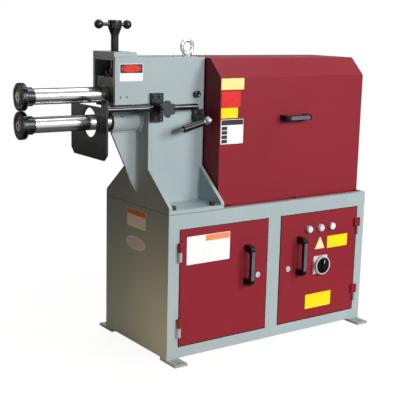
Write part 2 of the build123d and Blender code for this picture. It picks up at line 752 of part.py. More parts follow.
for name, axis_z, first_gap in (("upper", upper_axis_z, 0.5), ("lower", lower_axis_z, 0.0)):
    with BuildPart() as roll:
        bar_x(roll_face, roll_back, 0, axis_z, roll_radius)
        bar_x(roll_back, shaft_shoulder, 0, axis_z, roll_hub_diameter / 2)
        chamfer(roll.faces().sort_by(Axis.X)[-1].edges().sort_by(SortBy.LENGTH)[-1], length=6)
        bar_x(roll_face - 1, roll_face + roll_recess_depth, 0, axis_z, roll_recess_radius,
              mode=Mode.SUBTRACT)
        bar_x(roll_face - 1, shaft_shoulder + 1, 0, axis_z, nose_r, mode=Mode.SUBTRACT)
        with BuildSketch(Plane(origin=(roll_face, 0, axis_z), x_dir=(0, 1, 0), z_dir=(1, 0, 0))):
            with PolarLocations(roll_radius + 0.5, roll_teeth, start_angle=first_gap * 360 / roll_teeth + 90):
                RegularPolygon(tooth_depth + 0.5, 3, rotation=180)
        extrude(amount=roll_thickness, mode=Mode.SUBTRACT)
    keep(roll, f"{name}_roll")
    with BuildPart() as roll_screw:
        bar_x(nose_end, nose_end + 26, 0, axis_z, roll_screw_radius)
        bar_x(roll_face, roll_face + roll_recess_depth, 0, axis_z, washer_radius + 3)
        bar_x(roll_face + roll_recess_depth, nose_end, 0, axis_z, nose_r - 0.5)
        bar_x(roll_face - washer_thickness, roll_face, 0, axis_z, washer_radius)
        with BuildSketch(Plane(origin=(roll_face - washer_thickness, 0, axis_z), x_dir=(0, 1, 0),
                               z_dir=(1, 0, 0))):
            RegularPolygon(5.8, 6)
        extrude(amount=5, mode=Mode.SUBTRACT)
    keep(roll_screw, f"{name}_roll_screw")

pitch_radius = gear_module * gear_teeth / 2
tip_radius = pitch_radius + 0.85 * gear_module
root_radius = pitch_radius - 1.2 * gear_module
tip_half = 1.3
root_half = 4.3

for name, axis_z, gear_start, gear_end, turn in (
        ("upper", upper_axis_z, upper_gear_start, upper_gear_end, 0.5),
        ("lower", lower_axis_z, lower_gear_start, lower_gear_end, 0.0)):
    with BuildPart() as gear:
        with BuildSketch(Plane(origin=(gear_start, 0, axis_z), x_dir=(0, 1, 0), z_dir=(1, 0, 0))):
            Circle(root_radius)
            tooth_at_top = 90 if name == "lower" else -90
            with PolarLocations(0, gear_teeth, start_angle=tooth_at_top + turn * 360 / gear_teeth):
                Polygon(
                    (root_radius - 2, -root_half), (tip_radius, -tip_half), (tip_radius, tip_half),
                    (root_radius - 2, root_half), align=None)
            Circle(gear_seat_r, mode=Mode.SUBTRACT)
        extrude(amount=gear_end - gear_start)
    keep(gear, f"{name}_gear")

# ---- rear bearing pedestal and geared motor ----------------------------------------
reducer_start = left + 575.0
reducer_end = left + 735.0
reducer_foot_z = lower_axis_z - 100.0
cowl_end = left + hood_end - 33.0
motor_end = cowl_end - 77.0
terminal_box_start = reducer_end + 0.30 * (motor_end - reducer_end)
terminal_box_end = reducer_end + 0.75 * (motor_end - reducer_end)
output_radius = 20.0
motor_shaft_radius = 12.0
motor_bore_radius = 47.0
motor_body_radius = 68.0
motor_fin_height = 7.0
pedestal_half = 75.0

with BuildPart() as drive_pedestal:
    foot_top = cabinet_top + pedestal_foot_thickness
    block(pedestal_start, pedestal_end, -110, 110, cabinet_top, foot_top)
    block(pivot_x - pedestal_plate_half, pivot_x + pedestal_plate_half, -pedestal_half, pedestal_half,
          foot_top, upper_axis_z)
    bar_x(pivot_x - pedestal_plate_half, pivot_x + pedestal_plate_half, 0, upper_axis_z, 60)
    for side in (-1, 1):
        wall_in = side * (pedestal_half - 10.0)
        wall_out = side * pedestal_half
        block(reducer_start, reducer_end, min(wall_in, wall_out), max(wall_in, wall_out), foot_top,
              reducer_foot_z - 12)
        block(pivot_x + pedestal_plate_half, pivot_x + 60, min(wall_in, wall_out),
              max(wall_in, wall_out), foot_top, foot_top + 120)
        for x in pedestal_bolt_x:
            bar_z(cabinet_top - 1, foot_top + 1, x, side * pedestal_bolt_y, bolt_radius + 0.5,
                  mode=Mode.SUBTRACT)
    block(reducer_start - 5, reducer_end + 5, -95, 95, reducer_foot_z - 12, reducer_foot_z)
    bar_x(pivot_x - 40, pivot_x + 40, 0, lower_axis_z, rear_bush_radius, mode=Mode.SUBTRACT)
    with Locations((pivot_x, 0, upper_axis_z)):
        Sphere(sphere_radius + moving_gap, mode=Mode.SUBTRACT)
keep(drive_pedestal, "drive_pedestal")

with BuildPart() as gear_reducer:
    block(reducer_start, reducer_end, -75, 75, reducer_foot_z, reducer_foot_z + 180)
    fillet(gear_reducer.edges().filter_by(Axis.X).group_by(Axis.Z)[-1], radius=20)
    block(reducer_start, reducer_end, -95, 95, reducer_foot_z, reducer_foot_z + 15)
    bar_x(reducer_start - 12, reducer_start, 0, lower_axis_z, 40)
    bar_x(reducer_start - 13, reducer_start + 66, 0, lower_axis_z, output_radius + running_clearance,
          mode=Mode.SUBTRACT)
    bar_x(reducer_end - 30, reducer_end + 1, 0, lower_axis_z, motor_shaft_radius + running_clearance,
          mode=Mode.SUBTRACT)
keep(gear_reducer, "gear_reducer")

with BuildPart() as motor_housing:
    bar_x(reducer_end, reducer_end + 12, 0, lower_axis_z, 80)
    bar_x(reducer_end + 12, motor_end, 0, lower_axis_z, motor_body_radius)
    with BuildSketch(Plane(origin=(reducer_end + 30, 0, lower_axis_z), x_dir=(0, 1, 0), z_dir=(1, 0, 0))):
        with PolarLocations(motor_body_radius + motor_fin_height / 2 - 1, 28):
            Rectangle(motor_fin_height + 2, 3)
    extrude(amount=motor_end - reducer_end - 50)
    block(terminal_box_start, terminal_box_end, -45, 45, lower_axis_z + 50, lower_axis_z + 118)
    bar_x(reducer_end + 24, motor_end - 12, 0, lower_axis_z, motor_bore_radius, mode=Mode.SUBTRACT)
    bar_x(reducer_end - 1, motor_end + 1, 0, lower_axis_z, motor_shaft_radius + running_clearance,
          mode=Mode.SUBTRACT)
keep(motor_housing, "motor_housing")

with BuildPart() as fan_cowl:
    bar_x(motor_end, cowl_end, 0, lower_axis_z, 77)
    bar_x(motor_end - 1, cowl_end - 2, 0, lower_axis_z, 75, mode=Mode.SUBTRACT)
    bar_x(motor_end, motor_end + 8, 0, lower_axis_z, 76)
    bar_x(motor_end - 1, motor_end + 9, 0, lower_axis_z, 64, mode=Mode.SUBTRACT)
    with BuildSketch(Plane(origin=(cowl_end - 3, 0, lower_axis_z), x_dir=(0, 1, 0), z_dir=(1, 0, 0))):
        with PolarLocations(45, 12):
            SlotOverall(36, 8)
    extrude(amount=4, mode=Mode.SUBTRACT)
keep(fan_cowl, "fan_cowl")

with BuildPart() as motor_rotor:
    bar_x(reducer_end - 28, motor_end + 50, 0, lower_axis_z, motor_shaft_radius)
    bar_x(reducer_end + 36, motor_end - 24, 0, lower_axis_z, motor_bore_radius - 0.5)
    bar_x(motor_end + 18, motor_end + 44, 0, lower_axis_z, 22)
    bar_x(motor_end + 16, motor_end + 20, 0, lower_axis_z, 62)
    with BuildSketch(Plane(origin=(motor_end + 20, 0, lower_axis_z), x_dir=(0, 1, 0), z_dir=(1, 0, 0))):
        with PolarLocations(41, 8):
            Rectangle(42, 3)
    extrude(amount=24)
keep(motor_rotor, "motor_rotor")

hub_radius = 45.0
hub_face = lower_shaft_end
tongue_reach = 16.0
tongue_half = 10.0
hub_gap = 6.0

with BuildPart() as coupling_hub:
    bar_x(hub_face - 40, hub_face, 0, lower_axis_z, hub_radius)
    block(hub_face, hub_face + tongue_reach, -tongue_half, tongue_half, lower_axis_z - 40, lower_axis_z + 40)
    bar_x(hub_face - 41, hub_face, 0, lower_axis_z, rear_journal_r, mode=Mode.SUBTRACT)
keep(coupling_hub, "coupling_hub")

with BuildPart() as output_hub:
    bar_x(hub_face + hub_gap, hub_face + hub_gap + 44, 0, lower_axis_z, hub_radius)
    block(hub_face + hub_gap - 1, hub_face + hub_gap + 22, -tongue_half - moving_gap,
          tongue_half + moving_gap, lower_axis_z - hub_radius, lower_axis_z + hub_radius,
          mode=Mode.SUBTRACT)
    bar_x(hub_face + hub_gap + 44, reducer_start + 64, 0, lower_axis_z, output_radius)
keep(output_hub, "output_hub")

# ---- hood --------------------------------------------------------------------------
hood_x0 = left + hood_start
hood_x1 = left + hood_end
hood_y0 = front + hood_front
hood_y1 = front + hood_rear
ridge_y = front + hood_ridge
screw_head_radius = 6.5
screw_head_height = 6.0
screw_radius = 4.0
hood_screw_x = (hood_x0 + 49.0, hood_x0 + 401.0, hood_x1 - 24.0)
lip_screw_y = hood_y0 - 18.0
hood_handle_x = left + 650.0
hood_handle_z = 947.5
window_half = 50.0
window_top = 1105.0

with BuildPart() as hood:
    with BuildSketch(Plane.YZ.offset(hood_x0)):
        with BuildLine():
            Polyline(
                (hood_y0, cabinet_top), (hood_y0, hood_fold), (ridge_y, hood_top), (hood_y1, hood_top),
                (hood_y1, cabinet_top), close=True)
        make_face()
    extrude(amount=hood_x1 - hood_x0)
    with BuildSketch(Plane.YZ.offset(hood_x0 + hood_sheet)):
        with BuildLine():
            Polyline(
                (hood_y0 + hood_sheet, cabinet_top), (hood_y0 + hood_sheet, hood_fold - 1),
                (ridge_y + 1, hood_top - hood_sheet), (hood_y1 - hood_sheet, hood_top - hood_sheet),
                (hood_y1 - hood_sheet, cabinet_top), close=True)
        make_face()
    extrude(amount=hood_x1 - hood_x0 - 2 * hood_sheet, mode=Mode.SUBTRACT)
    block(hood_x0, hood_x1, hood_y0 - hood_lip, hood_y0 + hood_sheet, cabinet_top, cabinet_top + hood_sheet)
    block(hood_x0, hood_x1, hood_y1 - hood_sheet, hood_y1 + hood_lip, cabinet_top, cabinet_top + hood_sheet)
    block(hood_x0 - 1, hood_x0 + hood_sheet + 1, -window_half, window_half, cabinet_top - 1, window_top,
          mode=Mode.SUBTRACT)
    for x in hood_screw_x:
        for y in (lip_screw_y, hood_y1 + 18.0):
            bar_z(cabinet_top - 1, cabinet_top + 3, x, y, screw_radius, mode=Mode.SUBTRACT)
keep(hood, "hood")

level = Plane(origin=(hood_handle_x, 0, hood_handle_z + handle_width / 2), x_dir=(1, 0, 0), z_dir=(0, 0, -1))
keep(bridge_handle(level, -hood_y0, hood_handle_length), "hood_handle")

# ---- side brackets, guide rod and stop plate ---------------------------------------
bracket_face = column_front
flange_face = bracket_face - 14.0
rod_y = column_front - 34.5
rod_z = 1000.5
rod_radius = 11.5
rod_end = left + 208.0
guide_x0 = left + 5.0
guide_x1 = left + 60.0
guide_bottom = 943.5
guide_top = 1056.0
clamp_half_height = 22.5
clamp_face = column_front - 55.0
lever_block_x0 = left + 203.0
lever_block_x1 = left + 249.0
lever_block_bottom = 940.0
lever_block_top = 962.0
lever_flange_top = 987.0
lever_block_face = column_front - 36.0
bracket_screw_places = (
    (guide_x0 + 11.0, guide_top - 13.0), (guide_x0 + 39.5, guide_top - 13.0),
    (guide_x0 + 11.0, guide_bottom + 13.5), (guide_x0 + 39.5, guide_bottom + 13.5),
    (lever_block_x0 + 8.0, lever_flange_top - 13.0), (lever_block_x0 + 33.0, lever_flange_top - 13.0))
knob_stem_radius = 8.0
plate_back = left - 205.0
plate_thickness = 9.0

with BuildPart() as side_brackets:
    block(guide_x0, guide_x1, flange_face, bracket_face, guide_bottom, guide_top)
    block(guide_x0, guide_x1, clamp_face, flange_face, rod_z - clamp_half_height, rod_z + clamp_half_height)
    block(lever_block_x0, lever_block_x1, flange_face, bracket_face, lever_block_bottom, lever_flange_top)
    block(lever_block_x0, lever_block_x1, lever_block_face, flange_face, lever_block_bottom, lever_block_top)
    bar_x(guide_x0 - 1, guide_x1 + 1, rod_y, rod_z, rod_radius + running_clearance, mode=Mode.SUBTRACT)
    bar_y(clamp_face - 1, rod_y, (guide_x0 + guide_x1) / 2, rod_z, knob_stem_radius + running_clearance,
          mode=Mode.SUBTRACT)
    bar_y(lever_block_face - 1, bracket_face + 1, lever_x, lever_z,
          lever_shaft_radius + running_clearance, mode=Mode.SUBTRACT)
    for x, z in bracket_screw_places:
        bar_y(flange_face - 1, bracket_face + 1, x, z, screw_radius, mode=Mode.SUBTRACT)
keep(side_brackets, "side_brackets")

with BuildPart() as small_screws:
    for x, z in bracket_screw_places:
        bar_y(flange_face - screw_head_height, flange_face, x, z, screw_head_radius)
        bar_y(flange_face, bracket_face, x, z, screw_radius)
        bar_y(flange_face - screw_head_height - 1, flange_face - 2, x, z, 3.0, mode=Mode.SUBTRACT)
    for x in hood_screw_x:
        for y in (lip_screw_y, hood_y1 + 18.0):
            bar_z(cabinet_top, cabinet_top + hood_sheet, x, y, screw_radius)
            bar_z(cabinet_top + hood_sheet, cabinet_top + hood_sheet + screw_head_height, x, y,
                  screw_head_radius)
            bar_z(cabinet_top + hood_sheet + 3, cabinet_top + hood_sheet + 8, x, y, 3.0,
                  mode=Mode.SUBTRACT)
keep(small_screws, "small_screws")

spigot_radius = 6.0
spigot_length = 8.0
with BuildPart() as guide_rod:
    bar_x(plate_back, rod_end, rod_y, rod_z, rod_radius)
    chamfer(guide_rod.faces().sort_by(Axis.X)[-1].edges(), length=2)
    bar_x(plate_back - spigot_length, plate_back, rod_y, rod_z, spigot_radius)
keep(guide_rod, "guide_rod")

plate_front = -134.0
plate_rear = 150.0
plate_bottom = 808.0
plate_top = 1037.0
plate_chamfer = 24.0
plate_hole_radius = 57.0
notch_half = 94.0
notch_bottom = 1007.5
with BuildPart() as stop_plate:
    with BuildSketch(Plane.YZ.offset(plate_back - plate_thickness)) as outline:
        with Locations(((plate_front + plate_rear) / 2, (plate_bottom + plate_top) / 2)):
            Rectangle(plate_rear - plate_front, plate_top - plate_bottom)
        chamfer(outline.vertices().group_by(Axis.Y)[0], length=plate_chamfer)
        with Locations((0, notch_bottom + 20)):
            RectangleRounded(2 * notch_half, 40, 10, mode=Mode.SUBTRACT)
        with Locations((0, plate_top)):
            Rectangle(2 * notch_half, 20, mode=Mode.SUBTRACT)
        with Locations((0, lower_axis_z)):
            Circle(plate_hole_radius, mode=Mode.SUBTRACT)
    extrude(amount=plate_thickness)
    bar_x(plate_back - spigot_length, plate_back + 1, rod_y, rod_z, spigot_radius, mode=Mode.SUBTRACT)
keep(stop_plate, "stop_plate")

star_hub_radius = 20.0
star_hub_length = 20.0
star_body_radius = 25.0
star_lobe_radius = 9.0
star_lobe_reach = 24.0
star_thickness = 19.0
star_x = (guide_x0 + guide_x1) / 2
star_back = clamp_face - star_hub_length
with BuildPart() as star_knob:
    bar_y(star_back, rod_y - rod_radius - 1, star_x, rod_z, knob_stem_radius)
    bar_y(star_back, clamp_face - moving_gap, star_x, rod_z, star_hub_radius)
    with BuildSketch(Plane(origin=(star_x, star_back, rod_z), x_dir=(1, 0, 0), z_dir=(0, -1, 0))):
        Circle(star_body_radius)
        with PolarLocations(star_lobe_reach, 6, start_angle=30):
            Circle(star_lobe_radius)
    extrude(amount=star_thickness)
keep(star_knob, "star_knob")

# ---- axial adjusting lever and shift ring ------------------------------------------
lever_tilt = 14.3
lever_hub_y = column_front - 76.0
lever_hub_radius = 18.0
lever_grip_radius = 13.9
lever_grip_start = 24.0
lever_grip_end = 123.5
eccentric_offset = 8.0
pin_radius = 5.0
ring_front = -ring_outer_radius
ring_half = 10.0
pin_tip = ring_front + 12.0

with BuildPart() as adjusting_lever:
    bar_y(lever_hub_y, ring_front - 2, lever_x, lever_z, lever_shaft_radius)
    with Locations((lever_x, lever_hub_y, lever_z)):
        Sphere(lever_hub_radius)
    bar_y(ring_front - 8, ring_front - 2, lever_x, lever_z, 14)
    bar_y(ring_front - 2, pin_tip, lever_x, lever_z - eccentric_offset, pin_radius)
    arm_plane = Plane(origin=(lever_x, lever_hub_y, lever_z),
                      z_dir=(-cos(radians(lever_tilt)), 0, -sin(radians(lever_tilt))))
    with BuildSketch(arm_plane):
        Circle(7)
    extrude(amount=lever_grip_start + 60)
keep(adjusting_lever, "adjusting_lever")

with BuildPart() as lever_grip:
    with BuildSketch(arm_plane.offset(lever_grip_start)):
        Circle(lever_grip_radius)
    extrude(amount=lever_grip_end - lever_grip_start)
    fillet(lever_grip.edges().filter_by(GeomType.CIRCLE), radius=3)
    with BuildSketch(arm_plane.offset(lever_grip_start)):
        Circle(7)
    extrude(amount=60, mode=Mode.SUBTRACT)
keep(lever_grip, "lever_grip")

with BuildPart() as shift_ring:
    bar_x(lever_x - ring_half, lever_x + ring_half, 0, lower_axis_z, ring_outer_radius)
    bar_x(lever_x - ring_half - 1, lever_x + ring_half + 1, 0, lower_axis_z,
          groove_radius + running_clearance, mode=Mode.SUBTRACT)
    block(lever_x - pin_radius - moving_gap, lever_x + pin_radius + moving_gap, ring_front - 2,
          pin_tip + 1, lower_axis_z - 14, lower_axis_z + 6, mode=Mode.SUBTRACT)
    split(bisect_by=Plane.XY.offset(lower_axis_z + 8), keep=Keep.BOTH)
keep(shift_ring, "shift_ring")

# ---- lifting screw, swivel foot and tommy bar --------------------------------------
screw_r = screw_diameter / 2
screw_journal_radius = 10.0
screw_foot_top = foot_bottom + 26.0
hub_rise = 91.0
hub_height = 27.5
hub_bottom = head_top + cap_thickness + hub_rise
hub_top = hub_bottom + hub_height
hub_taper = 29.5
hub_r = 26.5
tommy_z = hub_bottom + 11.3
tommy_radius = 7.0
tommy_offset = -7.5
ball_spacing = 62.0
ball_radius = 17.5

with BuildPart() as screw_foot:
    bar_z(foot_bottom, foot_bottom + foot_flange_height, screw_x, 0, foot_flange_radius)
    bar_z(foot_bottom + foot_flange_height, screw_foot_top, screw_x, 0, 20)
    bar_z(foot_bottom + 8, screw_foot_top + 1, screw_x, 0, screw_journal_radius + running_clearance,
          mode=Mode.SUBTRACT)
keep(screw_foot, "screw_foot")

with BuildPart() as adjusting_screw:
    bar_z(foot_bottom + 8.5, screw_foot_top + 1, screw_x, 0, screw_journal_radius)
    bar_z(screw_foot_top + 1, hub_bottom - hub_taper, screw_x, 0, screw_r)
    bar_z(hub_bottom, hub_top, screw_x, 0, hub_r)
    with BuildSketch(Plane.XY.offset(hub_bottom - hub_taper)):
        with Locations((screw_x, 0)):
            Circle(screw_r)
    with BuildSketch(Plane.XY.offset(hub_bottom)):
        with Locations((screw_x, 0)):
            Circle(hub_r)
    loft()
    chamfer(adjusting_screw.faces().sort_by(Axis.Z)[-1].edges(), length=3)
    bar_x(screw_x - hub_r - 1, screw_x + hub_r + 1, 0, tommy_z, tommy_radius + running_clearance,
          mode=Mode.SUBTRACT)
keep(adjusting_screw, "adjusting_screw")

with BuildPart() as tommy_bar:
    bar_x(screw_x + tommy_offset - ball_spacing, screw_x + tommy_offset + ball_spacing, 0, tommy_z,
          tommy_radius)
    with Locations((screw_x + tommy_offset - ball_spacing, 0, tommy_z),
                   (screw_x + tommy_offset + ball_spacing, 0, tommy_z)):
        Sphere(ball_radius)
keep(tommy_bar, "tommy_bar")
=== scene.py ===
"""Looks of the motor-driven bead roller: materials, rounded edges, plates, weld beads, light and camera.

Pieces are laid out in millimetres in the part's frame and scaled by MM. Camera, floor and lamps are in metres.
"""
import math

import bmesh
import bpy
from mathutils import Matrix, Vector


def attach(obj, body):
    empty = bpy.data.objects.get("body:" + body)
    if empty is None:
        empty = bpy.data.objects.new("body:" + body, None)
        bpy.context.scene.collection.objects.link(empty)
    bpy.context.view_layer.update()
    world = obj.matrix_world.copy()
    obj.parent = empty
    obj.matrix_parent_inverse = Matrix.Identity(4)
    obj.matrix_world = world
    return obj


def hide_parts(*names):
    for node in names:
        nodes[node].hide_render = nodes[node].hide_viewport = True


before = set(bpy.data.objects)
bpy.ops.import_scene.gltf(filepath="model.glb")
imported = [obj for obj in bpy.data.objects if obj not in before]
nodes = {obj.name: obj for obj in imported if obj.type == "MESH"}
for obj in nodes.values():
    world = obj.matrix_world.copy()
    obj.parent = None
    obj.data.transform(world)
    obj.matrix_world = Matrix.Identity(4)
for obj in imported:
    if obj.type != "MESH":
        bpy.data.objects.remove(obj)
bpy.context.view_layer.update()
MM = 0.001

# ---- camera ------------------------------------------------------------------------
CAMERA_AT = Vector((-2.3948, -3.0808, 1.3387))
CAMERA_YAW = math.radians(35.35376)
CAMERA_PITCH = math.radians(-11.22995)
CAMERA_ROLL = math.radians(1.33419)
FOCAL_SHARE = 907.55 / 400.0
SENSOR = 36.0

ahead = Vector((math.sin(CAMERA_YAW) * math.cos(CAMERA_PITCH),
                math.cos(CAMERA_YAW) * math.cos(CAMERA_PITCH),
                math.sin(CAMERA_PITCH)))
level_right = Vector((math.cos(CAMERA_YAW), -math.sin(CAMERA_YAW), 0))
level_up = level_right.cross(ahead)
cam_right = math.cos(CAMERA_ROLL) * level_right + math.sin(CAMERA_ROLL) * level_up
cam_up = -math.sin(CAMERA_ROLL) * level_right + math.cos(CAMERA_ROLL) * level_up
camera_data = bpy.data.cameras.new("camera")
camera_data.sensor_width = SENSOR
camera_data.lens = SENSOR * FOCAL_SHARE
camera_data.clip_start = 0.05
camera_data.clip_end = 200
camera = bpy.data.objects.new("camera", camera_data)
bpy.context.scene.collection.objects.link(camera)
turn = Matrix((cam_right, cam_up, -ahead)).transposed().to_4x4()
camera.matrix_world = Matrix.Translation(CAMERA_AT) @ turn
bpy.context.scene.camera = camera


# ---- node trees --------------------------------------------------------------------
class NodeTree:
    """An emptied node tree and the few kinds of nodes used here."""

    def __init__(self, tree):
        self.tree = tree
        self.tree.nodes.clear()

    def add(self, kind, **values):
        """New node with the values of its sockets; an underscore stands for a space."""
        node = self.tree.nodes.new(f"ShaderNode{kind}")
        for key, value in values.items():
            node.inputs[key.replace("_", " ")].default_value = value
        return node

    def link(self, source, target):
        self.tree.links.new(source, target)

    def remap(self, value, low, high, from_low=0.3, from_high=0.7, smooth=False):
        """Map a value to two limits; the usual spread of a noise lies between 0.3 and 0.7."""
        node = self.add("MapRange", From_Min=from_low, From_Max=from_high, To_Min=low, To_Max=high)
        if smooth:
            node.interpolation_type = "SMOOTHSTEP"
        self.link(value, node.inputs["Value"])
        return node.outputs[0]

    def combine(self, operation, first, second, clamp=False):
        """Result of arithmetic on two values, of which the second may be a plain number."""
        node = self.add("Math")
        node.operation = operation
        node.use_clamp = clamp
        self.link(first, node.inputs[0])
        if isinstance(second, float):
            node.inputs[1].default_value = second
        else:
            self.link(second, node.inputs[1])
        return node.outputs[0]

    def mix(self, factor, first, second):
        """Colour between two colours, each a socket or a colour."""
        node = self.add("Mix")
        node.data_type = "RGBA"
        self.link(factor, node.inputs["Factor"])
        for colour, socket in ((first, node.inputs[6]), (second, node.inputs[7])):
            if isinstance(colour, tuple):
                socket.default_value = colour
            else:
                self.link(colour, socket)
        return node.outputs[2]

    def choose(self, factor, first, second):
        """The first shader, turning into the second where the factor is one."""
        node = self.add("MixShader")
        self.link(factor, node.inputs["Fac"])
        self.link(first, node.inputs[1])
        self.link(second, node.inputs[2])
        return node.outputs[0]

    def mirrored(self, path):
        """One for rays that were reflected or let through, from a Light Path node."""
        return self.combine("ADD", path.outputs["Is Glossy Ray"], path.outputs["Is Transmission Ray"], True)


class Shader(NodeTree):
    """A material under construction: one Principled shader and the textures that feed it."""

    def __init__(self, name):
        self.material = bpy.data.materials.new(name)
        self.material.use_nodes = True
        super().__init__(self.material.node_tree)
        self.bsdf = self.add("BsdfPrincipled")
        self.link(self.bsdf.outputs[0], self.add("OutputMaterial").inputs["Surface"])
        self.coords = self.add("TexCoord").outputs["Object"]
        self.height = None

    def put(self, **values):
        """Set sockets of the Principled shader; an underscore stands for a space."""
        for key, value in values.items():
            self.bsdf.inputs[key.replace("_", " ")].default_value = value

    def noise(self, scale, detail=3.0, rough=0.5, stretch=(1, 1, 1)):
        """Value of a noise texture with its scale per metre, stretched along the axes."""
        mapping = self.add("Mapping", Scale=stretch)
        self.link(self.coords, mapping.inputs["Vector"])
        texture = self.add("TexNoise", Scale=scale, Detail=detail, Roughness=rough)
        self.link(mapping.outputs[0], texture.inputs["Vector"])
        return texture.outputs["Fac"]

    def colour(self, source):
        self.link(source, self.bsdf.inputs["Base Color"])

    def rough(self, source):
        self.link(source, self.bsdf.inputs["Roughness"])

    def bump(self, value, strength, distance):
        """Add a layer of surface relief."""
        node = self.add("Bump", Strength=strength, Distance=distance)
        self.link(value, node.inputs["Height"])
        if self.height is not None:
            self.link(self.height, node.inputs["Normal"])
        self.height = node.outputs[0]
        self.link(self.height, self.bsdf.inputs["Normal"])

    def wear_and_highlight(self, base, worn_highlit, width, amount):
        """Colour with the edges rubbed lighter and painted as highlight, where a rounded normal leaves the flat
        one.
        """
        rounded = self.add("Bevel", Radius=width)
        rounded.samples = 4
        plain = self.add("NewGeometry")
        dot = self.add("VectorMath")
        dot.operation = "DOT_PRODUCT"
        self.link(rounded.outputs[0], dot.inputs[0])
        self.link(plain.outputs["Normal"], dot.inputs[1])
        edge = self.remap(dot.outputs["Value"], amount, 0.0, 0.80, 0.97)
        patchy = self.remap(self.noise(90, 4), 0.35, 1.0)
        return self.mix(self.combine("MULTIPLY", edge, patchy), base, worn_highlit)


# ---- materials ---------------------------------------------------------------------
def srgb(red, green, blue):
    """Linear colour of an 8-bit colour."""
    def linear(value):
        value = value / 255
        return value / 12.92 if value <= 0.04045 else ((value + 0.055) / 1.055) ** 2.4
    return (linear(red), linear(green), linear(blue), 1.0)


def scaled(colour, by):
    """A colour made lighter or darker."""
    return tuple(min(1.0, c * by) for c in colour[:3]) + (1.0,)


def clouded(shader, colour, scale, detail, roughness, darker, lighter):
    """Colour that drifts between a darker and a lighter shade over the surface."""
    drift = shader.remap(shader.noise(scale, detail, roughness), 0, 1)
    return shader.mix(drift, scaled(colour, darker), scaled(colour, lighter))


def paint(name, colour, rough=0.36, peel=0.08, edge=1.3, coat=0.04, wear_and_highlight=0.45, gloss=0.25):
    """Sprayed enamel: orange peel, faint clouding, lighter edges that are rubbed and painted as highlight, and
    a clear top layer.
    """
    shader = Shader(name)
    clouds = clouded(shader, colour, 3.2, 4, 0.5, 0.95, 1.045)
    specks = shader.mix(shader.remap(shader.noise(150, 3, 0.6), 0, 0.25), clouds, scaled(colour, 0.93))
    shader.colour(shader.wear_and_highlight(specks, scaled(colour, edge), 1.6 * MM, wear_and_highlight))
    shader.rough(shader.remap(shader.noise(9, 3), rough - 0.05, rough + 0.06))
    shader.bump(shader.noise(420, 2), peel, 0.25 * MM)
    shader.bump(shader.noise(26, 2), peel * 0.45, 0.6 * MM)
    shader.put(Coat_Weight=coat, Coat_Roughness=0.18, Specular_IOR_Level=gloss)
    return shader.material


def turned(name, colour, rough, along, grooves=0.10, spread=0.07, rim=0.10):
    """Lathe-turned or ground metal with fine rings round one axis."""
    fine = tuple(1.0 if axis == along else 0.03 for axis in range(3))
    shader = Shader(name)
    rings = shader.noise(2600, 2, 0.6, fine)
    shader.colour(clouded(shader, colour, 18, 4, 0.6, 0.92, 1.05))
    shader.rough(shader.remap(rings, rough - spread, rough + spread))
    shader.bump(rings, grooves, 0.05 * MM)
    shader.put(Metallic=1.0, Specular_Tint=(rim, rim, rim, 1.0))
    return shader.material


def oxide(name, colour, rough=0.42, grain=0.16, metal=0.55, wear_and_highlight=0.45, worn_highlit=(0.30, 0.30, 0.31, 1.0)):
    """Blackened or plated steel: fine grain, oily clouding and bright edges that are rubbed and painted as
    highlight.
    """
    shader = Shader(name)
    clouds = clouded(shader, colour, 34, 4, 0.6, 0.78, 1.3)
    shader.colour(shader.wear_and_highlight(clouds, worn_highlit, 0.9 * MM, wear_and_highlight))
    shader.rough(shader.remap(shader.noise(60, 4), rough - 0.08, rough + 0.10))
    shader.bump(shader.noise(1500, 2), grain, 0.08 * MM)
    shader.put(Metallic=metal)
    return shader.material


def moulded(name, colour, rough=0.4, grain=0.18, grain_scale=1900, coat=0.0, gloss=0.4):
    """Moulded plastic with a fine spark-eroded texture."""
    shader = Shader(name)
    shader.colour(clouded(shader, colour, 22, 3, 0.5, 0.9, 1.08))
    shader.rough(shader.remap(shader.noise(45, 3), rough - 0.05, rough + 0.06))
    shader.bump(shader.noise(grain_scale, 2), grain, 0.06 * MM)
    shader.put(Coat_Weight=coat, Coat_Roughness=0.08, Specular_IOR_Level=gloss)
    return shader.material


def film(name, colour, rough=0.3):
    """Printed vinyl or thin enamelled plate: nearly flat, faint print mottling and waviness."""
    shader = Shader(name)
    shader.colour(clouded(shader, colour, 55, 3, 0.5, 0.985, 1.01))
    shader.rough(shader.remap(shader.noise(30, 2), rough - 0.04, rough + 0.05))
    shader.bump(shader.noise(38, 2), 0.02, 0.3 * MM)
    shader.put(Coat_Weight=0.1, Coat_Roughness=0.15, Specular_IOR_Level=0.3)
    return shader.material


def rgb(red, green, blue):
    """Opaque linear colour."""
    return (red, green, blue, 1.0)


frame_paint = paint("frame_paint", srgb(168, 183, 186))
maroon_paint = paint("maroon_paint", srgb(141, 40, 51), rough=0.34, peel=0.05, edge=1.45, coat=0.02, wear_and_highlight=0.35,
                     gloss=0.14)
foot_paint = paint("foot_paint", srgb(160, 167, 161), rough=0.5, peel=0.2, edge=1.15)
motor_paint = paint("motor_paint", srgb(96, 110, 124), rough=0.5, peel=0.3)

ALONG_X, ALONG_Y, ALONG_Z = range(3)
bright_shaft = turned("bright_steel_shaft", rgb(0.64, 0.64, 0.645), 0.20, ALONG_X, grooves=0.03, spread=0.04)
bright_plain = turned("bright_steel", rgb(0.46, 0.46, 0.48), 0.26, ALONG_Y, grooves=0.05)
zinc = turned("zinc_steel", rgb(0.62, 0.63, 0.64), 0.30, ALONG_Z, grooves=0.06)
chrome = turned("chrome_trim", rgb(0.86, 0.86, 0.87), 0.12, ALONG_Y, grooves=0.02, spread=0.04)
bronze = turned("bronze", rgb(0.60, 0.42, 0.17), 0.30, ALONG_X)
# Bronze of the bushes, made much darker than the plain bronze.
dark_bronze = turned("dark_bronze", rgb(0.16, 0.13, 0.085), 0.38, ALONG_X)

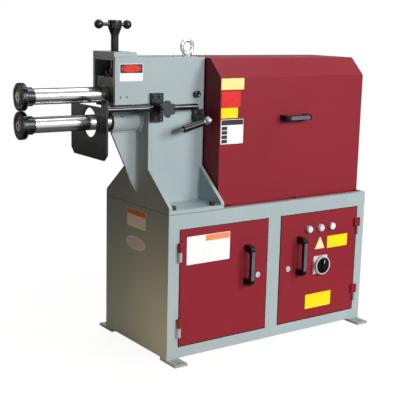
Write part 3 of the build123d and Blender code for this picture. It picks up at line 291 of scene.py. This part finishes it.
latch_nickel = oxide("latch_nickel", rgb(0.72, 0.74, 0.77), rough=0.24, grain=0.05, metal=0.45, wear_and_highlight=0.3,
                     worn_highlit=rgb(0.95, 0.95, 0.95))
rod_black = oxide("black_rod_steel", rgb(0.055, 0.055, 0.058), rough=0.15, grain=0.03, metal=1.0, wear_and_highlight=0.5)
# Light rims on the screw heads: painted highlight on the socket rims as well as wear.
screw_black = oxide("black_screw_steel", rgb(0.06, 0.062, 0.065), rough=0.26, grain=0.08, metal=1.0, wear_and_highlight=1.0,
                    worn_highlit=rgb(0.50, 0.50, 0.51))
hub_iron = oxide("cast_hub", rgb(0.16, 0.16, 0.17), rough=0.45, grain=0.3, metal=0.8)
black_steel = oxide("black_steel", rgb(0.022, 0.022, 0.025))
# Lighter tooth edges on the rolls: painted highlight on the teeth as well as wear.
black_roll = oxide("black_roll_steel", rgb(0.052, 0.054, 0.058), rough=0.24, grain=0.10, metal=1.0, wear_and_highlight=0.9,
                   worn_highlit=rgb(0.30, 0.31, 0.32))
black_plate = oxide("black_plate_steel", rgb(0.016, 0.016, 0.018), rough=0.45, grain=0.25, metal=0.3, wear_and_highlight=0.6,
                    worn_highlit=rgb(0.14, 0.14, 0.15))
tee_steel = oxide("tee_handle_steel", rgb(0.040, 0.041, 0.044), rough=0.20, grain=0.05, metal=1.0, wear_and_highlight=0.6)
# Pale, mostly diffuse colour on the roll screws: a painted reflection of polished steel on the shaded side.
roll_screw_steel = oxide("roll_screw_steel", rgb(0.80, 0.80, 0.81), rough=0.36, grain=0.1, metal=0.2, wear_and_highlight=0.8,
                         worn_highlit=rgb(0.95, 0.95, 0.95))

SMOOTH_GRAIN = 900
black_plastic = moulded("black_plastic", rgb(0.006, 0.006, 0.007), rough=0.26, grain=0.06, gloss=0.22)
black_gloss = moulded("black_gloss_plastic", rgb(0.006, 0.006, 0.007), 0.20, 0.03, SMOOTH_GRAIN, gloss=0.30)
star_gloss = moulded("star_knob_plastic", rgb(0.020, 0.024, 0.032), 0.20, 0.03, SMOOTH_GRAIN, coat=0.7)
slate_inlay = moulded("slate_plastic", rgb(0.115, 0.128, 0.165), rough=0.38, grain=0.25)
grey_plastic = moulded("grey_plastic", rgb(0.42, 0.43, 0.43), rough=0.34)
white_plastic = moulded("white_plastic", rgb(0.72, 0.73, 0.74), rough=0.34)
green_cap = moulded("green_cap", srgb(200, 228, 228), 0.22, 0.05, SMOOTH_GRAIN, coat=0.3)
red_cap = moulded("red_cap", srgb(234, 206, 224), 0.22, 0.05, SMOOTH_GRAIN, coat=0.3)
white_lens = moulded("white_lens", srgb(250, 250, 247), 0.16, 0.03, SMOOTH_GRAIN, coat=0.5)

vinyl_white = film("plate_white", srgb(250, 249, 250))
vinyl_cream = film("plate_cream", srgb(248, 232, 150))
vinyl_yellow = film("plate_yellow", srgb(250, 226, 20))
vinyl_sand = film("plate_sand", srgb(244, 230, 165))
vinyl_orange = film("plate_orange", srgb(232, 128, 40))
vinyl_peach = film("plate_peach", srgb(242, 150, 92))
vinyl_red = film("plate_red", srgb(222, 42, 38))
vinyl_dark = film("plate_dark", srgb(48, 46, 48))
badge_grey = film("badge_grey", srgb(214, 219, 232), rough=0.25)
badge_rim = film("badge_rim", srgb(236, 238, 242), rough=0.2)
seam_dark = film("seam_shadow", rgb(0.02, 0.022, 0.021), rough=0.6)

FINISHES = {
    foot_paint: ("foot_plates",),
    frame_paint: ("cabinet_shell", "head_base_plate", "head_end_plate_left", "head_end_plate_right",
                  "head_side_plates", "head_top_plate", "top_cap_plate", "lower_bearing_housing"),
    maroon_paint: ("door_left", "door_right", "hood"),
    motor_paint: ("drive_pedestal", "gear_reducer", "motor_housing", "fan_cowl"),
    bright_shaft: ("upper_shaft", "lower_shaft", "motor_rotor"),
    rod_black: ("guide_rod",),
    bright_plain: ("adjusting_lever",),
    zinc: ("hinge_pins", "mounting_panel"),
    chrome: ("lifting_eye",),
    latch_nickel: ("latch_left", "latch_right"),
    bronze: ("tilting_bearing", "shift_ring", "grease_nipples"),
    dark_bronze: ("lower_bushes", "upper_front_bush"),
    hub_iron: ("upper_gear", "lower_gear", "coupling_hub", "output_hub"),
    black_steel: ("side_brackets", "upper_bearing_block", "screw_foot"),
    tee_steel: ("adjusting_screw", "tommy_bar"),
    screw_black: ("cap_bolts", "small_screws"),
    black_roll: ("upper_roll", "lower_roll"),
    roll_screw_steel: ("upper_roll_screw", "lower_roll_screw"),
    black_plate: ("stop_plate",),
    black_plastic: ("door_handle_left", "door_handle_right", "hood_handle", "control_gear", "cable_gland",
                    "switch_knob"),
    black_gloss: ("lever_grip",),
    star_gloss: ("star_knob",),
    grey_plastic: ("button_bodies",),
    white_plastic: ("switch_plate",),
    green_cap: ("start_button",),
    red_cap: ("stop_button",),
    white_lens: ("pilot_lamp",),
}

# Width of the rounded edges; the other pieces have the plain one.
PLAIN_ROUNDING = 0.5
ROUNDING = {
    "cabinet_shell": 0.35, "door_left": 1.0, "door_right": 1.0, "hood": 1.0, "foot_plates": 1.2,
    "head_base_plate": 1.4, "head_end_plate_left": 1.4, "head_end_plate_right": 1.4, "head_side_plates": 1.4,
    "head_top_plate": 1.2, "top_cap_plate": 1.6, "lower_bearing_housing": 1.2, "stop_plate": 0.9,
    "upper_roll": 0.3, "lower_roll": 0.3, "side_brackets": 0.8, "cap_bolts": 0.8, "switch_plate": 1.0,
    "button_bodies": 1.0, "upper_shaft": 0.8, "lower_shaft": 0.8, "drive_pedestal": 1.2, "gear_reducer": 1.5,
    "tommy_bar": 0.4,
}
# A sheet with two windows loses the post between them when its flat faces are joined.
WITH_WINDOWS = ("cabinet_shell",)


def round_edges(piece, name, width, angle):
    """Bevel in two steps along the edges sharper than an angle."""
    bevel = piece.modifiers.new(name, "BEVEL")
    bevel.width = width * MM
    bevel.segments = 2
    bevel.limit_method = "ANGLE"
    bevel.angle_limit = math.radians(angle)
    return bevel


def finish_node(node, material, width):
    """Give a CAD node its material and softly rounded edges; the mesh itself stays as packed."""
    slots = node.data.materials
    if len(slots) == 0:
        slots.append(material)
    for index in range(len(slots)):
        slots[index] = material
    weld = node.modifiers.new("weld", "WELD")
    weld.merge_threshold = 0.005 * MM
    if node.name not in WITH_WINDOWS:
        planar = node.modifiers.new("planar", "DECIMATE")
        planar.decimate_type = "DISSOLVE"
        planar.angle_limit = math.radians(0.4)
    bevel = round_edges(node, "rounding", width, 32)
    bevel.harden_normals = False
    bevel.use_clamp_overlap = True
    bevel.miter_outer = "MITER_ARC"
    weighted = node.modifiers.new("shading", "WEIGHTED_NORMAL")
    weighted.keep_sharp = True
    weighted.weight = 60


for finish, names in FINISHES.items():
    for node_name in names:
        finish_node(nodes[node_name], finish, ROUNDING.get(node_name, PLAIN_ROUNDING))


# ---- shapes ------------------------------------------------------------------------
def mesh_of(solid, name, smooth=False):
    """Turn a bmesh into a mesh with its faces looking outwards."""
    bmesh.ops.recalc_face_normals(solid, faces=solid.faces)
    for face in solid.faces:
        face.smooth = smooth
    mesh = bpy.data.meshes.new(name)
    solid.to_mesh(mesh)
    solid.free()
    return mesh


def made(name, mesh, material, body):
    """Link a finished mesh as a piece that rides on a body."""
    piece = bpy.data.objects.new(name, mesh)
    bpy.context.scene.collection.objects.link(piece)
    mesh.materials.append(material)
    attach(piece, body)
    return piece


def bridge(solid, first, second):
    """Faces between two rings with the same number of points."""
    for k in range(len(first)):
        after = (k + 1) % len(first)
        solid.faces.new((first[k], first[after], second[after], second[k]))


def box_outline(width, height, corner, steps=6):
    """Corner points of a rectangle with rounded corners, centred on zero."""
    points = []
    for side, level, start in ((1, 1, 0), (-1, 1, 90), (-1, -1, 180), (1, -1, 270)):
        for step in range(steps + 1):
            angle = math.radians(start + 90 * step / steps)
            points.append((side * (width / 2 - corner) + corner * math.cos(angle),
                           level * (height / 2 - corner) + corner * math.sin(angle)))
    return points


def oval_outline(width, height, steps=64):
    """Points of an ellipse."""
    angles = [2 * math.pi * k / steps for k in range(steps)]
    return [(width / 2 * math.cos(angle), height / 2 * math.sin(angle)) for angle in angles]


RIGHTWARD, UPWARD, FORWARD = (1, 0, 0), (0, 0, 1), (0, -1, 0)
FINE_EDGE = 0.03


def slab(name, outline, origin, across, up, thickness, material, body, edge=0.25):
    """Thin plate with a softened front edge; its back lies at the origin, its face looks across x up."""
    across, up, origin = Vector(across).normalized(), Vector(up).normalized(), Vector(origin)
    out = across.cross(up)
    solid = bmesh.new()
    base = solid.faces.new([solid.verts.new((origin + across * u + up * v) * MM) for u, v in outline])
    lifted = bmesh.ops.extrude_face_region(solid, geom=[base])
    moved = [v for v in lifted["geom"] if isinstance(v, bmesh.types.BMVert)]
    bmesh.ops.translate(solid, verts=moved, vec=out * thickness * MM)
    piece = made(name, mesh_of(solid, name), material, body)
    round_edges(piece, "edge", edge, 50)
    return piece


def front_slab(name, outline, at, thickness, material, body, edge=0.25):
    """Slab that looks towards the doors' side."""
    slab(name, outline, at, RIGHTWARD, UPWARD, thickness, material, body, edge)


def side_slab(name, outline, at, thickness, material, edge=0.25):
    """Slab on the cabinet's side that looks towards the rolls."""
    slab(name, outline, at, FORWARD, UPWARD, thickness, material, "stand", edge)


def front_plate(name, x0, x1, z0, z1, y, material, body, slot="white_lens", thickness=0.5, corner=3.0):
    """Rectangular plate on a face that looks towards the doors' side."""
    front_slab(name, box_outline(x1 - x0, z1 - z0, corner), ((x0 + x1) / 2, y, (z0 + z1) / 2), thickness,
               material, body)


# ---- plates and badge --------------------------------------------------------------
DOOR_Y = -244.5
HOOD_Y = -193.0
HEAD_Y = -86.0
SIDE_X = -525.0
CABINET_Y = -243.0
CABINET_TOP = 600.0
PLATE = 0.5
PRINT = 0.12
BADGE_RIM = 1.6

# Plates stuck on the faces: name, x from and to, z from and to, y, material, body.
for row in (
        ("door_plate_white", -440, -229.5, 391.5, 506, DOOR_Y, vinyl_white, "left_door"),
        ("door_plate_upper", 307, 427, 367, 421, DOOR_Y, vinyl_yellow, "right_door"),
        ("door_plate_lower", 193, 342, 105, 170, DOOR_Y, vinyl_yellow, "right_door"),
        ("hood_plate_cream", -255.5, -142, 1069, 1114, HOOD_Y, vinyl_cream, "stand"),
        ("hood_plate_red", -252, -158, 999, 1063, HOOD_Y, vinyl_red, "stand"),
        ("hood_plate_yellow", -253, -170, 956, 997, HOOD_Y, vinyl_yellow, "stand"),
        ("hood_plate_table", -253, -140, 852, 951, HOOD_Y, vinyl_white, "stand"),
        ("head_plate_white", -655, -552, 1103, 1169, HEAD_Y, vinyl_white, "stand")):
    front_plate(*row, thickness=PLATE)

# Fields printed on the plates: name, x from and to, z from and to, y of the plate, material, body, corner.
CELL_HEIGHT, CELL_PITCH, CELL_TOP = 14.5, 17.5, 923
table_cells = [(f"hood_plate_cell_{row}", -249, -221, CELL_TOP - CELL_PITCH * row - CELL_HEIGHT,
                CELL_TOP - CELL_PITCH * row, HOOD_Y, vinyl_dark, "stand", 1) for row in range(4)]
for name, x0, x1, z0, z1, plate_y, material, body, corner in (
        ("door_plate_band", -350, -231.5, 480, 504, DOOR_Y, vinyl_peach, "left_door", 2),
        ("hood_plate_header", -251, -142, 928, 949, HOOD_Y, vinyl_dark, "stand", 1.5),
        ("head_plate_header", -653, -554, 1134, 1167, HEAD_Y, vinyl_dark, "stand", 1.5),
        *table_cells):
    front_plate(name, x0, x1, z0, z1, plate_y - PLATE, material, body, thickness=PRINT, corner=corner)
front_slab("head_plate_oval", oval_outline(88, 28), (-603.5, HEAD_Y - PLATE - PRINT, 1150.5), PRINT, vinyl_red,
           "stand", 0.05)
TRIANGLE = [(-28, -26), (-24, -27), (24, -27), (28, -26), (2, 25), (-2, 25)]
front_slab("door_plate_triangle", TRIANGLE, (264, DOOR_Y, 397), PLATE, vinyl_sand, "right_door")

side_slab("side_plate_white", box_outline(145, 73, 3), (SIDE_X, -3.5, 540.5), PLATE, vinyl_white)
side_slab("side_plate_band", box_outline(141, 20, 2), (SIDE_X - PLATE, -3.5, 565.5), PRINT, vinyl_orange)
side_slab("side_badge_rim", oval_outline(148, 58), (SIDE_X, 1, 440), BADGE_RIM, badge_rim, 0.6)
side_slab("side_badge_face", oval_outline(136, 47), (SIDE_X - BADGE_RIM, 1, 440), 0.3, badge_grey,
          0.15)


# ---- weld beads --------------------------------------------------------------------
BEAD_SIDES = 8
BEAD_STEP = 5.5 / 3
RIPPLE_TURN = 2.094
END_SHARE = 0.45


def bead(name, points, radius, seed):
    """Weld bead on the stand: a rippled half-buried run of metal along straight lines, under the paint."""
    solid = bmesh.new()
    for run, (start, end) in enumerate(zip(points, points[1:])):
        start, end = Vector(start), Vector(end)
        along = (end - start).normalized()
        helper = Vector((0, 0, 1)) if abs(along.z) < 0.9 else Vector((1, 0, 0))
        side = along.cross(helper).normalized()
        lift = side.cross(along)
        count = max(2, int((end - start).length / BEAD_STEP))
        rings = []
        for step in range(count + 1):
            ripple = 0.10 * math.sin(step * RIPPLE_TURN + seed + run) + 0.08 * math.sin(step * 0.37 + seed * 3)
            size = radius * (1 + ripple) * (END_SHARE if step in (0, count) else 1)
            here = start.lerp(end, step / count)
            angles = [2 * math.pi * k / BEAD_SIDES for k in range(BEAD_SIDES)]
            rings.append([solid.verts.new((here + side * (size * math.cos(angle))
                                           + lift * (size * math.sin(angle))) * MM) for angle in angles])
        for first, second in zip(rings, rings[1:]):
            bridge(solid, first, second)
        solid.faces.new(rings[0])
        solid.faces.new(rings[-1])
    made(name, mesh_of(solid, name, smooth=True), frame_paint, "stand")


BASE_TOP = 616.0
COLUMN_HALF = 86.0
FLARE_TOP = 757.0
FLARE_END = 236
INNER_LEFT, INNER_RIGHT = -509.0, -279.0
RIB_HALF, RIB_BOTTOM, RIB_TOP = 7, 655, 903
HOUSING_END, HOUSING_BOTTOM = -641, 900.5
ARM_START, ARM_END, ARM_HALF, ARM_TOP = -673.5, -300, 70.5, 1180.5
for side, label in ((-1, "front"), (1, "rear")):
    face = side * (COLUMN_HALF + 1)
    low = BASE_TOP + 1
    bead(f"weld_foot_{label}", [(INNER_LEFT + 6, face, low), (INNER_RIGHT - 6, face, low)],
         radius=3.6, seed=0.4)
    for inner_x, lean, tag in ((INNER_LEFT, 1, "left"), (INNER_RIGHT, -1, "right")):
        x = inner_x + lean
        bead(f"weld_flare_{label}_{tag}", [(x, face, BASE_TOP + 6), (x, face, FLARE_TOP - 3)],
             radius=3.4, seed=1.1 + lean)
        bead(f"weld_base_{label}_{tag}", [(x, side * (COLUMN_HALF + 6), low), (x, side * FLARE_END, low)],
             radius=3.4, seed=2.3 + lean)
    rib_x, rib_y, arm_y = SIDE_X - 1.5, side * RIB_HALF, side * ARM_HALF
    bead(f"weld_rib_{label}", [(rib_x, rib_y, RIB_BOTTOM), (rib_x, rib_y, RIB_TOP)], radius=5.0, seed=0.9)
    bead(f"weld_tube_{label}", [(HOUSING_END, rib_y, HOUSING_BOTTOM), (SIDE_X - 1, rib_y, HOUSING_BOTTOM)],
         radius=4.0, seed=1.7)
    bead(f"weld_arm_{label}", [(ARM_START, arm_y, ARM_TOP), (ARM_END, arm_y, ARM_TOP)], radius=8.0, seed=1.4)

UPPER_AXIS, LOWER_AXIS = 1048.0, 943.0
for ring_radius, bead_radius, ring_x in ((44, 9.0, SIDE_X - 1), (42, 5.0, SIDE_X - 7)):
    ring_angles = [math.radians(degrees) for degrees in range(0, 361, 15)]
    bead(f"weld_housing_ring_{ring_radius}",
         [(ring_x, ring_radius * math.cos(angle), LOWER_AXIS + ring_radius * math.sin(angle))
          for angle in ring_angles], bead_radius, seed=0.2)

# ---- seams and door seals, with painted shadow in the gaps -------------------------
SEAM_WIDTH = 1.6
side_slab("seam_side", box_outline(484, SEAM_WIDTH, 0.5, 2), (SIDE_X, 0, CABINET_TOP), PRINT, seam_dark,
          FINE_EDGE)
front_slab("seam_front", box_outline(262, SEAM_WIDTH, 0.5, 2), (-394, CABINET_Y, CABINET_TOP), PRINT, seam_dark,
           "stand", FINE_EDGE)
front_plate("seam_hood", -256, 519, 600.1, 601.0, -219.1, seam_dark, "stand", "frame_paint", PRINT, 0.3)

DOOR_BOTTOM, DOOR_TOP = 63.0, 536.0
GAP_INNER, GAP_OUTER = 0.4, 4.2
# Black rubber seals round the doors, widened over the frame's face as painted shadow of the door gaps.
for label, x0, x1 in (("left", -470.0, -33.0), ("right", 41.0, 478.0)):
    for edge, gap_x0, gap_x1, gap_z0, gap_z1 in (
            ("start", x0 - GAP_OUTER, x0 - GAP_INNER, DOOR_BOTTOM - 4, DOOR_TOP + 4),
            ("end", x1 + GAP_INNER, x1 + GAP_OUTER, DOOR_BOTTOM - 4, DOOR_TOP + 4),
            ("bottom", x0 - 2, x1 + 2, DOOR_BOTTOM - GAP_OUTER, DOOR_BOTTOM - GAP_INNER),
            ("top", x0 - 2, x1 + 2, DOOR_TOP + GAP_INNER, DOOR_TOP + 3)):
        front_plate(f"door_seal_gap_shadow_{label}_{edge}", gap_x0, gap_x1, gap_z0, gap_z1, CABINET_Y, black_plastic,
                    "stand", "black_plastic", corner=0.3)

# Black discs sunk in the two accessory holes on the head, shaped as grub screws: painted shade that darkens the
# holes.
HOLE_SHADE_HALF, HOLE_SHADE_DEPTH, HOLE_SHADE_Z = 3.3, 1.2, 1042.5
for number, x in enumerate((-651.0, -623.0)):
    front_plate(f"hole_shade_screw_{number}", x - HOLE_SHADE_HALF, x + HOLE_SHADE_HALF, HOLE_SHADE_Z - HOLE_SHADE_HALF,
                HOLE_SHADE_Z + HOLE_SHADE_HALF, HEAD_Y + HOLE_SHADE_DEPTH, black_plastic, "stand", "black_plastic", corner=3.2)

# ---- rolls -------------------------------------------------------------------------
ROLL_FACE, ROLL_BACK, HUB_END = -1029.0, -1009.0, -973.0
ROLL_TIP, ROLL_ROOT, ROLL_TEETH = 52.2, 43.8, 44
CREST_HALF, GAP_START, GAP_END = 0.16, 0.30, 0.70
CHAMFER = 1.2
# x, radius of the crests and radius of the gaps along the roll, from the inside of its bore and round again.
ROLL_PROFILE = (
    (ROLL_FACE + 2, 20, 20), (ROLL_FACE + 2, 30, 30), (ROLL_FACE + 4, 31, 31), (ROLL_FACE + 4, 37.5, 37.5),
    (ROLL_FACE + 0.8, 39, 39), (ROLL_FACE, 40, 40), (ROLL_FACE, ROLL_TIP - CHAMFER, ROLL_ROOT - CHAMFER / 2),
    (ROLL_FACE + CHAMFER, ROLL_TIP, ROLL_ROOT), (ROLL_BACK - CHAMFER, ROLL_TIP, ROLL_ROOT),
    (ROLL_BACK, ROLL_TIP - CHAMFER, ROLL_ROOT - CHAMFER / 2), (ROLL_BACK, 36.5, 36.5),
    (ROLL_BACK + CHAMFER, 35, 35), (HUB_END - 6, 35, 35), (HUB_END, 29, 29), (HUB_END, 20, 20))


def roll_ring(solid, x, axis_z, phase, tip, root):
    """One ring of points round the spindle: two on each tooth's crest and two in each gap."""
    ring = []
    pitch = 2 * math.pi / ROLL_TEETH
    for tooth in range(ROLL_TEETH):
        middle = math.pi / 2 + (tooth + phase) * pitch
        for share, radius in ((-CREST_HALF, tip), (CREST_HALF, tip), (GAP_START, root), (GAP_END, root)):
            angle = middle + share * pitch
            spot = Vector((x, radius * math.cos(angle), axis_z + radius * math.sin(angle)))
            ring.append(solid.verts.new(spot * MM))
    return ring


def toothed_roll(name, axis_z, phase, body):
    """Forming roll with a toothed rim, a recessed face and a plain hub."""
    solid = bmesh.new()
    rings = [roll_ring(solid, x, axis_z, phase, tip, root) for x, tip, root in ROLL_PROFILE]
    for first, second in zip(rings, rings[1:] + rings[:1]):
        bridge(solid, first, second)
    mesh = mesh_of(solid, name, smooth=True)
    mesh.set_sharp_from_angle(angle=math.radians(25))
    piece = made(f"{name}_toothed", mesh, black_roll, body)
    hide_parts(name)


toothed_roll("upper_roll", UPPER_AXIS, 0.0, "upper_spindle")
toothed_roll("lower_roll", LOWER_AXIS, 0.5, "lower_spindle")

# ---- handles, switch and lever -----------------------------------------------------
HANDLE_HEIGHT = 48.0
# The soft strip on the grip starts just below its face.
INLAY_SINK = 0.3
for label, x, y, z, width, height, body in (
        ("left", -143.0, DOOR_Y, 356, 15, 122, "left_door"),
        ("right", 141.0, DOOR_Y, 356, 15, 122, "right_door"),
        ("hood", 125, HOOD_Y, 947.5, 104, 15, "stand")):
    front_slab(f"handle_inlay_{label}", box_outline(width, height, 4.0, 5),
               (x, y - HANDLE_HEIGHT + INLAY_SINK, z), 1.2, slate_inlay, body, 0.5)

# Marks on the switch's collar, left out at the four quarter turns.
SWITCH_X, SWITCH_Z = 267.0, 299.0
COLLAR_FACE = DOOR_Y - 25.0
KNOB_HEIGHT = 8
MARK_RADIUS = 38
POINTER_RADIUS = 19
for k in range(12):
    if k % 3:
        angle = math.radians(30 * k)
        radial = Vector((math.sin(angle), 0, math.cos(angle)))
        tangent = Vector((math.cos(angle), 0, -math.sin(angle)))
        mark_at = Vector((SWITCH_X, COLLAR_FACE, SWITCH_Z)) + radial * MARK_RADIUS
        slab(f"switch_mark_{k}", box_outline(1.1, 2.6, 0.3, 2), mark_at, tangent, radial, PRINT, vinyl_dark,
             "right_door", FINE_EDGE)
pointer_at = (SWITCH_X, COLLAR_FACE - KNOB_HEIGHT, SWITCH_Z + POINTER_RADIUS)
front_slab("switch_pointer", box_outline(2.4, 15, 1.0, 4), pointer_at, PRINT, vinyl_white, "isolator_knob",
           FINE_EDGE)

LEVER_PIVOT = Vector((-293.0, -162.0, 947.0))
GRIP_TILT = math.radians(14.3)
GRIP_LENGTH = 123.3
grip_way = Vector((-math.cos(GRIP_TILT), 0, -math.sin(GRIP_TILT)))
grip_side = Vector((0, 1, 0))
slab("grip_nut", oval_outline(12.5, 12.5, 6), LEVER_PIVOT + grip_way * GRIP_LENGTH, grip_side,
     grip_way.cross(grip_side), 3.0, zinc, "axial_lever", 0.6)

# ---- floor -------------------------------------------------------------------------
FLOOR_REACH = 60.0
# Near the machine the floor throws light back; the far floor throws little, so the shaded side stays dark.
NEAR_EDGE, FAR_EDGE = 0.625, 1.5
NEAR_FLOOR = rgb(0.80, 0.75, 0.69)
FAR_FLOOR = rgb(0.06, 0.056, 0.05)
# Share of the camera's view that comes from the floor's own white; the rest shows the shadow.
GLOW_SHARE = 0.86
NEAR_GLOW, FAR_GLOW = 1.08, 1.165
# What polished metal sees in the floor: dim below the machine, bright far in front of it.
SHEEN_START_Y, SHEEN_END_Y = -0.8, -2.8
DIM_SHEEN, BRIGHT_SHEEN = 0.15, 0.95
WHITE = rgb(1.0, 1.0, 1.0)

floor_mesh = bpy.data.meshes.new("floor")
floor_mesh.from_pydata([(x * FLOOR_REACH, y * FLOOR_REACH, 0) for x, y in ((-1, -1), (1, -1), (1, 1), (-1, 1))],
                       [], [(0, 1, 2, 3)])
floor = bpy.data.objects.new("floor", floor_mesh)
bpy.context.scene.collection.objects.link(floor)
floor_material = bpy.data.materials.new("floor_pale")
floor_material.use_nodes = True
floor_mesh.materials.append(floor_material)

pale = NodeTree(floor_material.node_tree)
position = pale.add("NewGeometry").outputs["Position"]
distance = pale.add("VectorMath")
distance.operation = "LENGTH"
pale.link(position, distance.inputs[0])
radius_share = pale.remap(distance.outputs["Value"], 0.0, 1.0, NEAR_EDGE, FAR_EDGE)
dull = pale.add("BsdfDiffuse")
pale.link(pale.mix(radius_share, NEAR_FLOOR, FAR_FLOOR), dull.inputs["Color"])
glow = pale.add("Emission")
pale.link(pale.remap(radius_share, NEAR_GLOW, FAR_GLOW, 0.0, 1.0), glow.inputs["Strength"])
axes = pale.add("SeparateXYZ")
pale.link(position, axes.inputs[0])
sheen = pale.add("Emission", Color=WHITE)
pale.link(pale.remap(axes.outputs["Y"], DIM_SHEEN, BRIGHT_SHEEN, SHEEN_START_Y, SHEEN_END_Y, smooth=True),
          sheen.inputs["Strength"])
floor_path = pale.add("LightPath")
unseen = pale.choose(pale.mirrored(floor_path), dull.outputs[0], sheen.outputs[0])
seen_share = pale.combine("MULTIPLY", floor_path.outputs["Is Camera Ray"], GLOW_SHARE)
pale.link(pale.choose(seen_share, unseen, glow.outputs[0]), pale.add("OutputMaterial").inputs["Surface"])

# ---- world -------------------------------------------------------------------------
AMBIENT = 0.012
# What polished metal sees of the room: dim at the horizon, bright overhead.
HORIZON_Z, OVERHEAD_Z = 0.08, 0.42
HORIZON_LIGHT, OVERHEAD_LIGHT = 0.12, 0.90

world = bpy.data.worlds.new("studio")
bpy.context.scene.world = world
world.use_nodes = True
studio = NodeTree(world.node_tree)
room = studio.add("SeparateXYZ")
studio.link(studio.add("TexCoord").outputs["Generated"], room.inputs[0])
mirror = studio.add("Background")
studio.link(studio.remap(room.outputs["Z"], HORIZON_LIGHT, OVERHEAD_LIGHT, HORIZON_Z, OVERHEAD_Z, smooth=True),
            mirror.inputs["Strength"])
dim = studio.add("Background", Color=WHITE, Strength=AMBIENT)
white = studio.add("Background", Color=WHITE, Strength=1.0)
world_path = studio.add("LightPath")
reflected = studio.choose(studio.mirrored(world_path), dim.outputs[0], mirror.outputs[0])
studio.link(studio.choose(world_path.outputs["Is Camera Ray"], reflected, white.outputs[0]),
            studio.add("OutputWorld").inputs["Surface"])


# ---- lamps -------------------------------------------------------------------------
def lamp(name, at, aim, size, power, colour=(1, 1, 1), glints=True, spread=180.0):
    """Square area lamp looking at a point; some lamps leave no reflection in the metal."""
    data = bpy.data.lights.new(name, "AREA")
    data.shape = "SQUARE"
    data.size = size
    data.energy = power
    data.color = colour
    data.spread = math.radians(spread)
    light = bpy.data.objects.new(name, data)
    light.location = at
    light.rotation_mode = "QUATERNION"
    light.rotation_quaternion = (Vector(aim) - Vector(at)).to_track_quat("-Z", "Y")
    light.visible_camera = False
    light.visible_glossy = glints
    bpy.context.scene.collection.objects.link(light)


lamp("key", (2.1, -4.2, 2.5), (0, 0, 0.7), 1.7, 138)
lamp("front", (-0.20, -4.6, 2.2), (-0.2, 0, 0.95), 1.0, 119)
lamp("low", (-1.00, -0.32, 0.03), (-0.525, -0.10, 0.05), 0.35, 1.75, (1.0, 0.64, 0.32), glints=False)
lamp("side", (-2.20, 1.90, 1.10), (-0.80, 0.0, 1.14), 0.5, 0.07, (1.0, 0.92, 0.80), spread=12.0)
lamp("top", (0.7, 0.2, 4.4), (0.3, 0, 0.6), 1.9, 58)
lamp("back", (2.4, 4.2, 2.4), (0, 0, 0.7), 2.4, 120, glints=False)

bpy.context.scene.view_settings.view_transform = "Standard"
